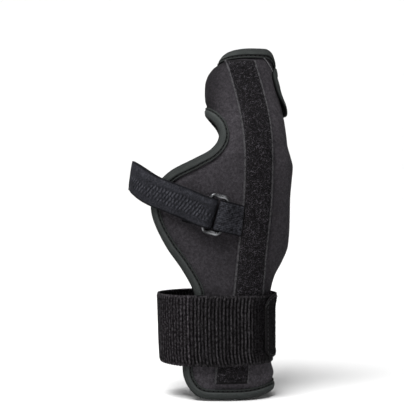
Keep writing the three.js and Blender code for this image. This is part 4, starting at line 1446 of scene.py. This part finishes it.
# Pale seam on the sleeve: angle and height, and a thread end by the cover's foot: x and height
SLEEVE_SEAM = [(57, 177), (49, 175.2), (41, 172.9), (33, 170.4), (26.5, 168)]
THREAD_END = np.linspace((-0.9, -28.8), (-0.3, -30.4), 5)


def sleeve_seam():
    seam = raised(on_form(*respaced(spline(SLEEVE_SEAM), 40).T), SHELL_WALL / 2 + 0.05)
    loose = raised(on_back(*THREAD_END.T), SHELL_WALL / 2 + 0.45)
    stitches("sleeve_seam", [seam, loose], PALE_THREAD, pitch=1.6, length=1.9, width=0.7)


shell()
sleeve_seam()
bindings()
stay_cover()
ring()
hand_strap()
ring_tab()
wrist_strap()
wrist_tab()
finger_flap()


# Studio, in metres
FLOOR_RADIUS = 1.3
FLOOR_BEND = 1.1
FLOOR_STEPS = 9
FLOOR_GAP = 0.0006
HEART = 0, 0, 0.08  # what the lamps point at
WORLD_LIGHT = 0.12
CAMERA_PLACE = -0.00924, -0.640, 0.0825
CAMERA_SENSOR, CAMERA_LENS = 36, 86.4


def sweep():
    """A round pale floor that turns up into a wall."""
    level_z = CAD_BOX[0].z - FLOOR_GAP
    bm = bmesh.new()
    rim = bmesh.ops.create_circle(bm, cap_ends=True, segments=72, radius=FLOOR_RADIUS)["verts"]
    bmesh.ops.translate(bm, verts=rim, vec=(0, 0, level_z))
    edges = edges_of(rim)
    for k in range(1, FLOOR_STEPS + 1):
        turn = 0.5 * math.pi * k / FLOOR_STEPS
        edges = edges_in(bmesh.ops.extrude_edge_only(bm, edges=edges)["geom"])
        for vert in {vert for edge in edges for vert in edge.verts}:
            way = Vector((vert.co.x, vert.co.y, 0)).normalized()
            vert.co = way * (FLOOR_RADIUS + FLOOR_BEND * math.sin(turn))
            vert.co.z = level_z + FLOOR_BEND * (1 - math.cos(turn))
    bmesh.ops.recalc_face_normals(bm, faces=bm.faces)
    f = Finish("pale_floor", Roughness=0.95, Specular_IOR_Level=0.0)
    soft = f.noise(f.body(), 3.0, 2.0)
    placed("floor", bm, f.done(f.ramp(soft, (0.3, 0.69), (0.7, 0.72))))


def lamp(name, place, target, size, power):
    data = bpy.data.lights.new(name, "AREA")
    data.energy = power
    data.shape = "RECTANGLE"
    data.size, data.size_y = size
    obj = bpy.data.objects.new(name, data)
    obj.location = place
    obj.rotation_euler = (Vector(target) - Vector(place)).to_track_quat("-Z", "Y").to_euler()
    bpy.context.scene.collection.objects.link(obj)


def studio():
    scene = bpy.context.scene
    scene.view_settings.view_transform = "Standard"
    world = bpy.data.worlds.new("studio")
    world.use_nodes = True
    world.node_tree.nodes["Background"].inputs["Color"].default_value = (1, 1, 1, 1)
    world.node_tree.nodes["Background"].inputs["Strength"].default_value = WORLD_LIGHT
    scene.world = world
    lamp("key", (-0.30, -0.52, 1.08), HEART, (0.7, 0.6), 26)
    lamp("back", (0, 0.9, 1.3), HEART, (1.6, 0.8), 2)
    lamp("wall", (0, 0.6, 1.5), (0, 2.4, 0.3), (2.2, 0.6), 42)
    camera = bpy.data.cameras.new("front")
    camera.sensor_width = CAMERA_SENSOR
    camera.lens = CAMERA_LENS
    eye = bpy.data.objects.new("front", camera)
    eye.location = CAMERA_PLACE
    eye.rotation_euler = (math.pi / 2, 0, 0)
    scene.collection.objects.link(eye)
    scene.camera = eye


sweep()
studio()

bpy.context.view_layer.update()
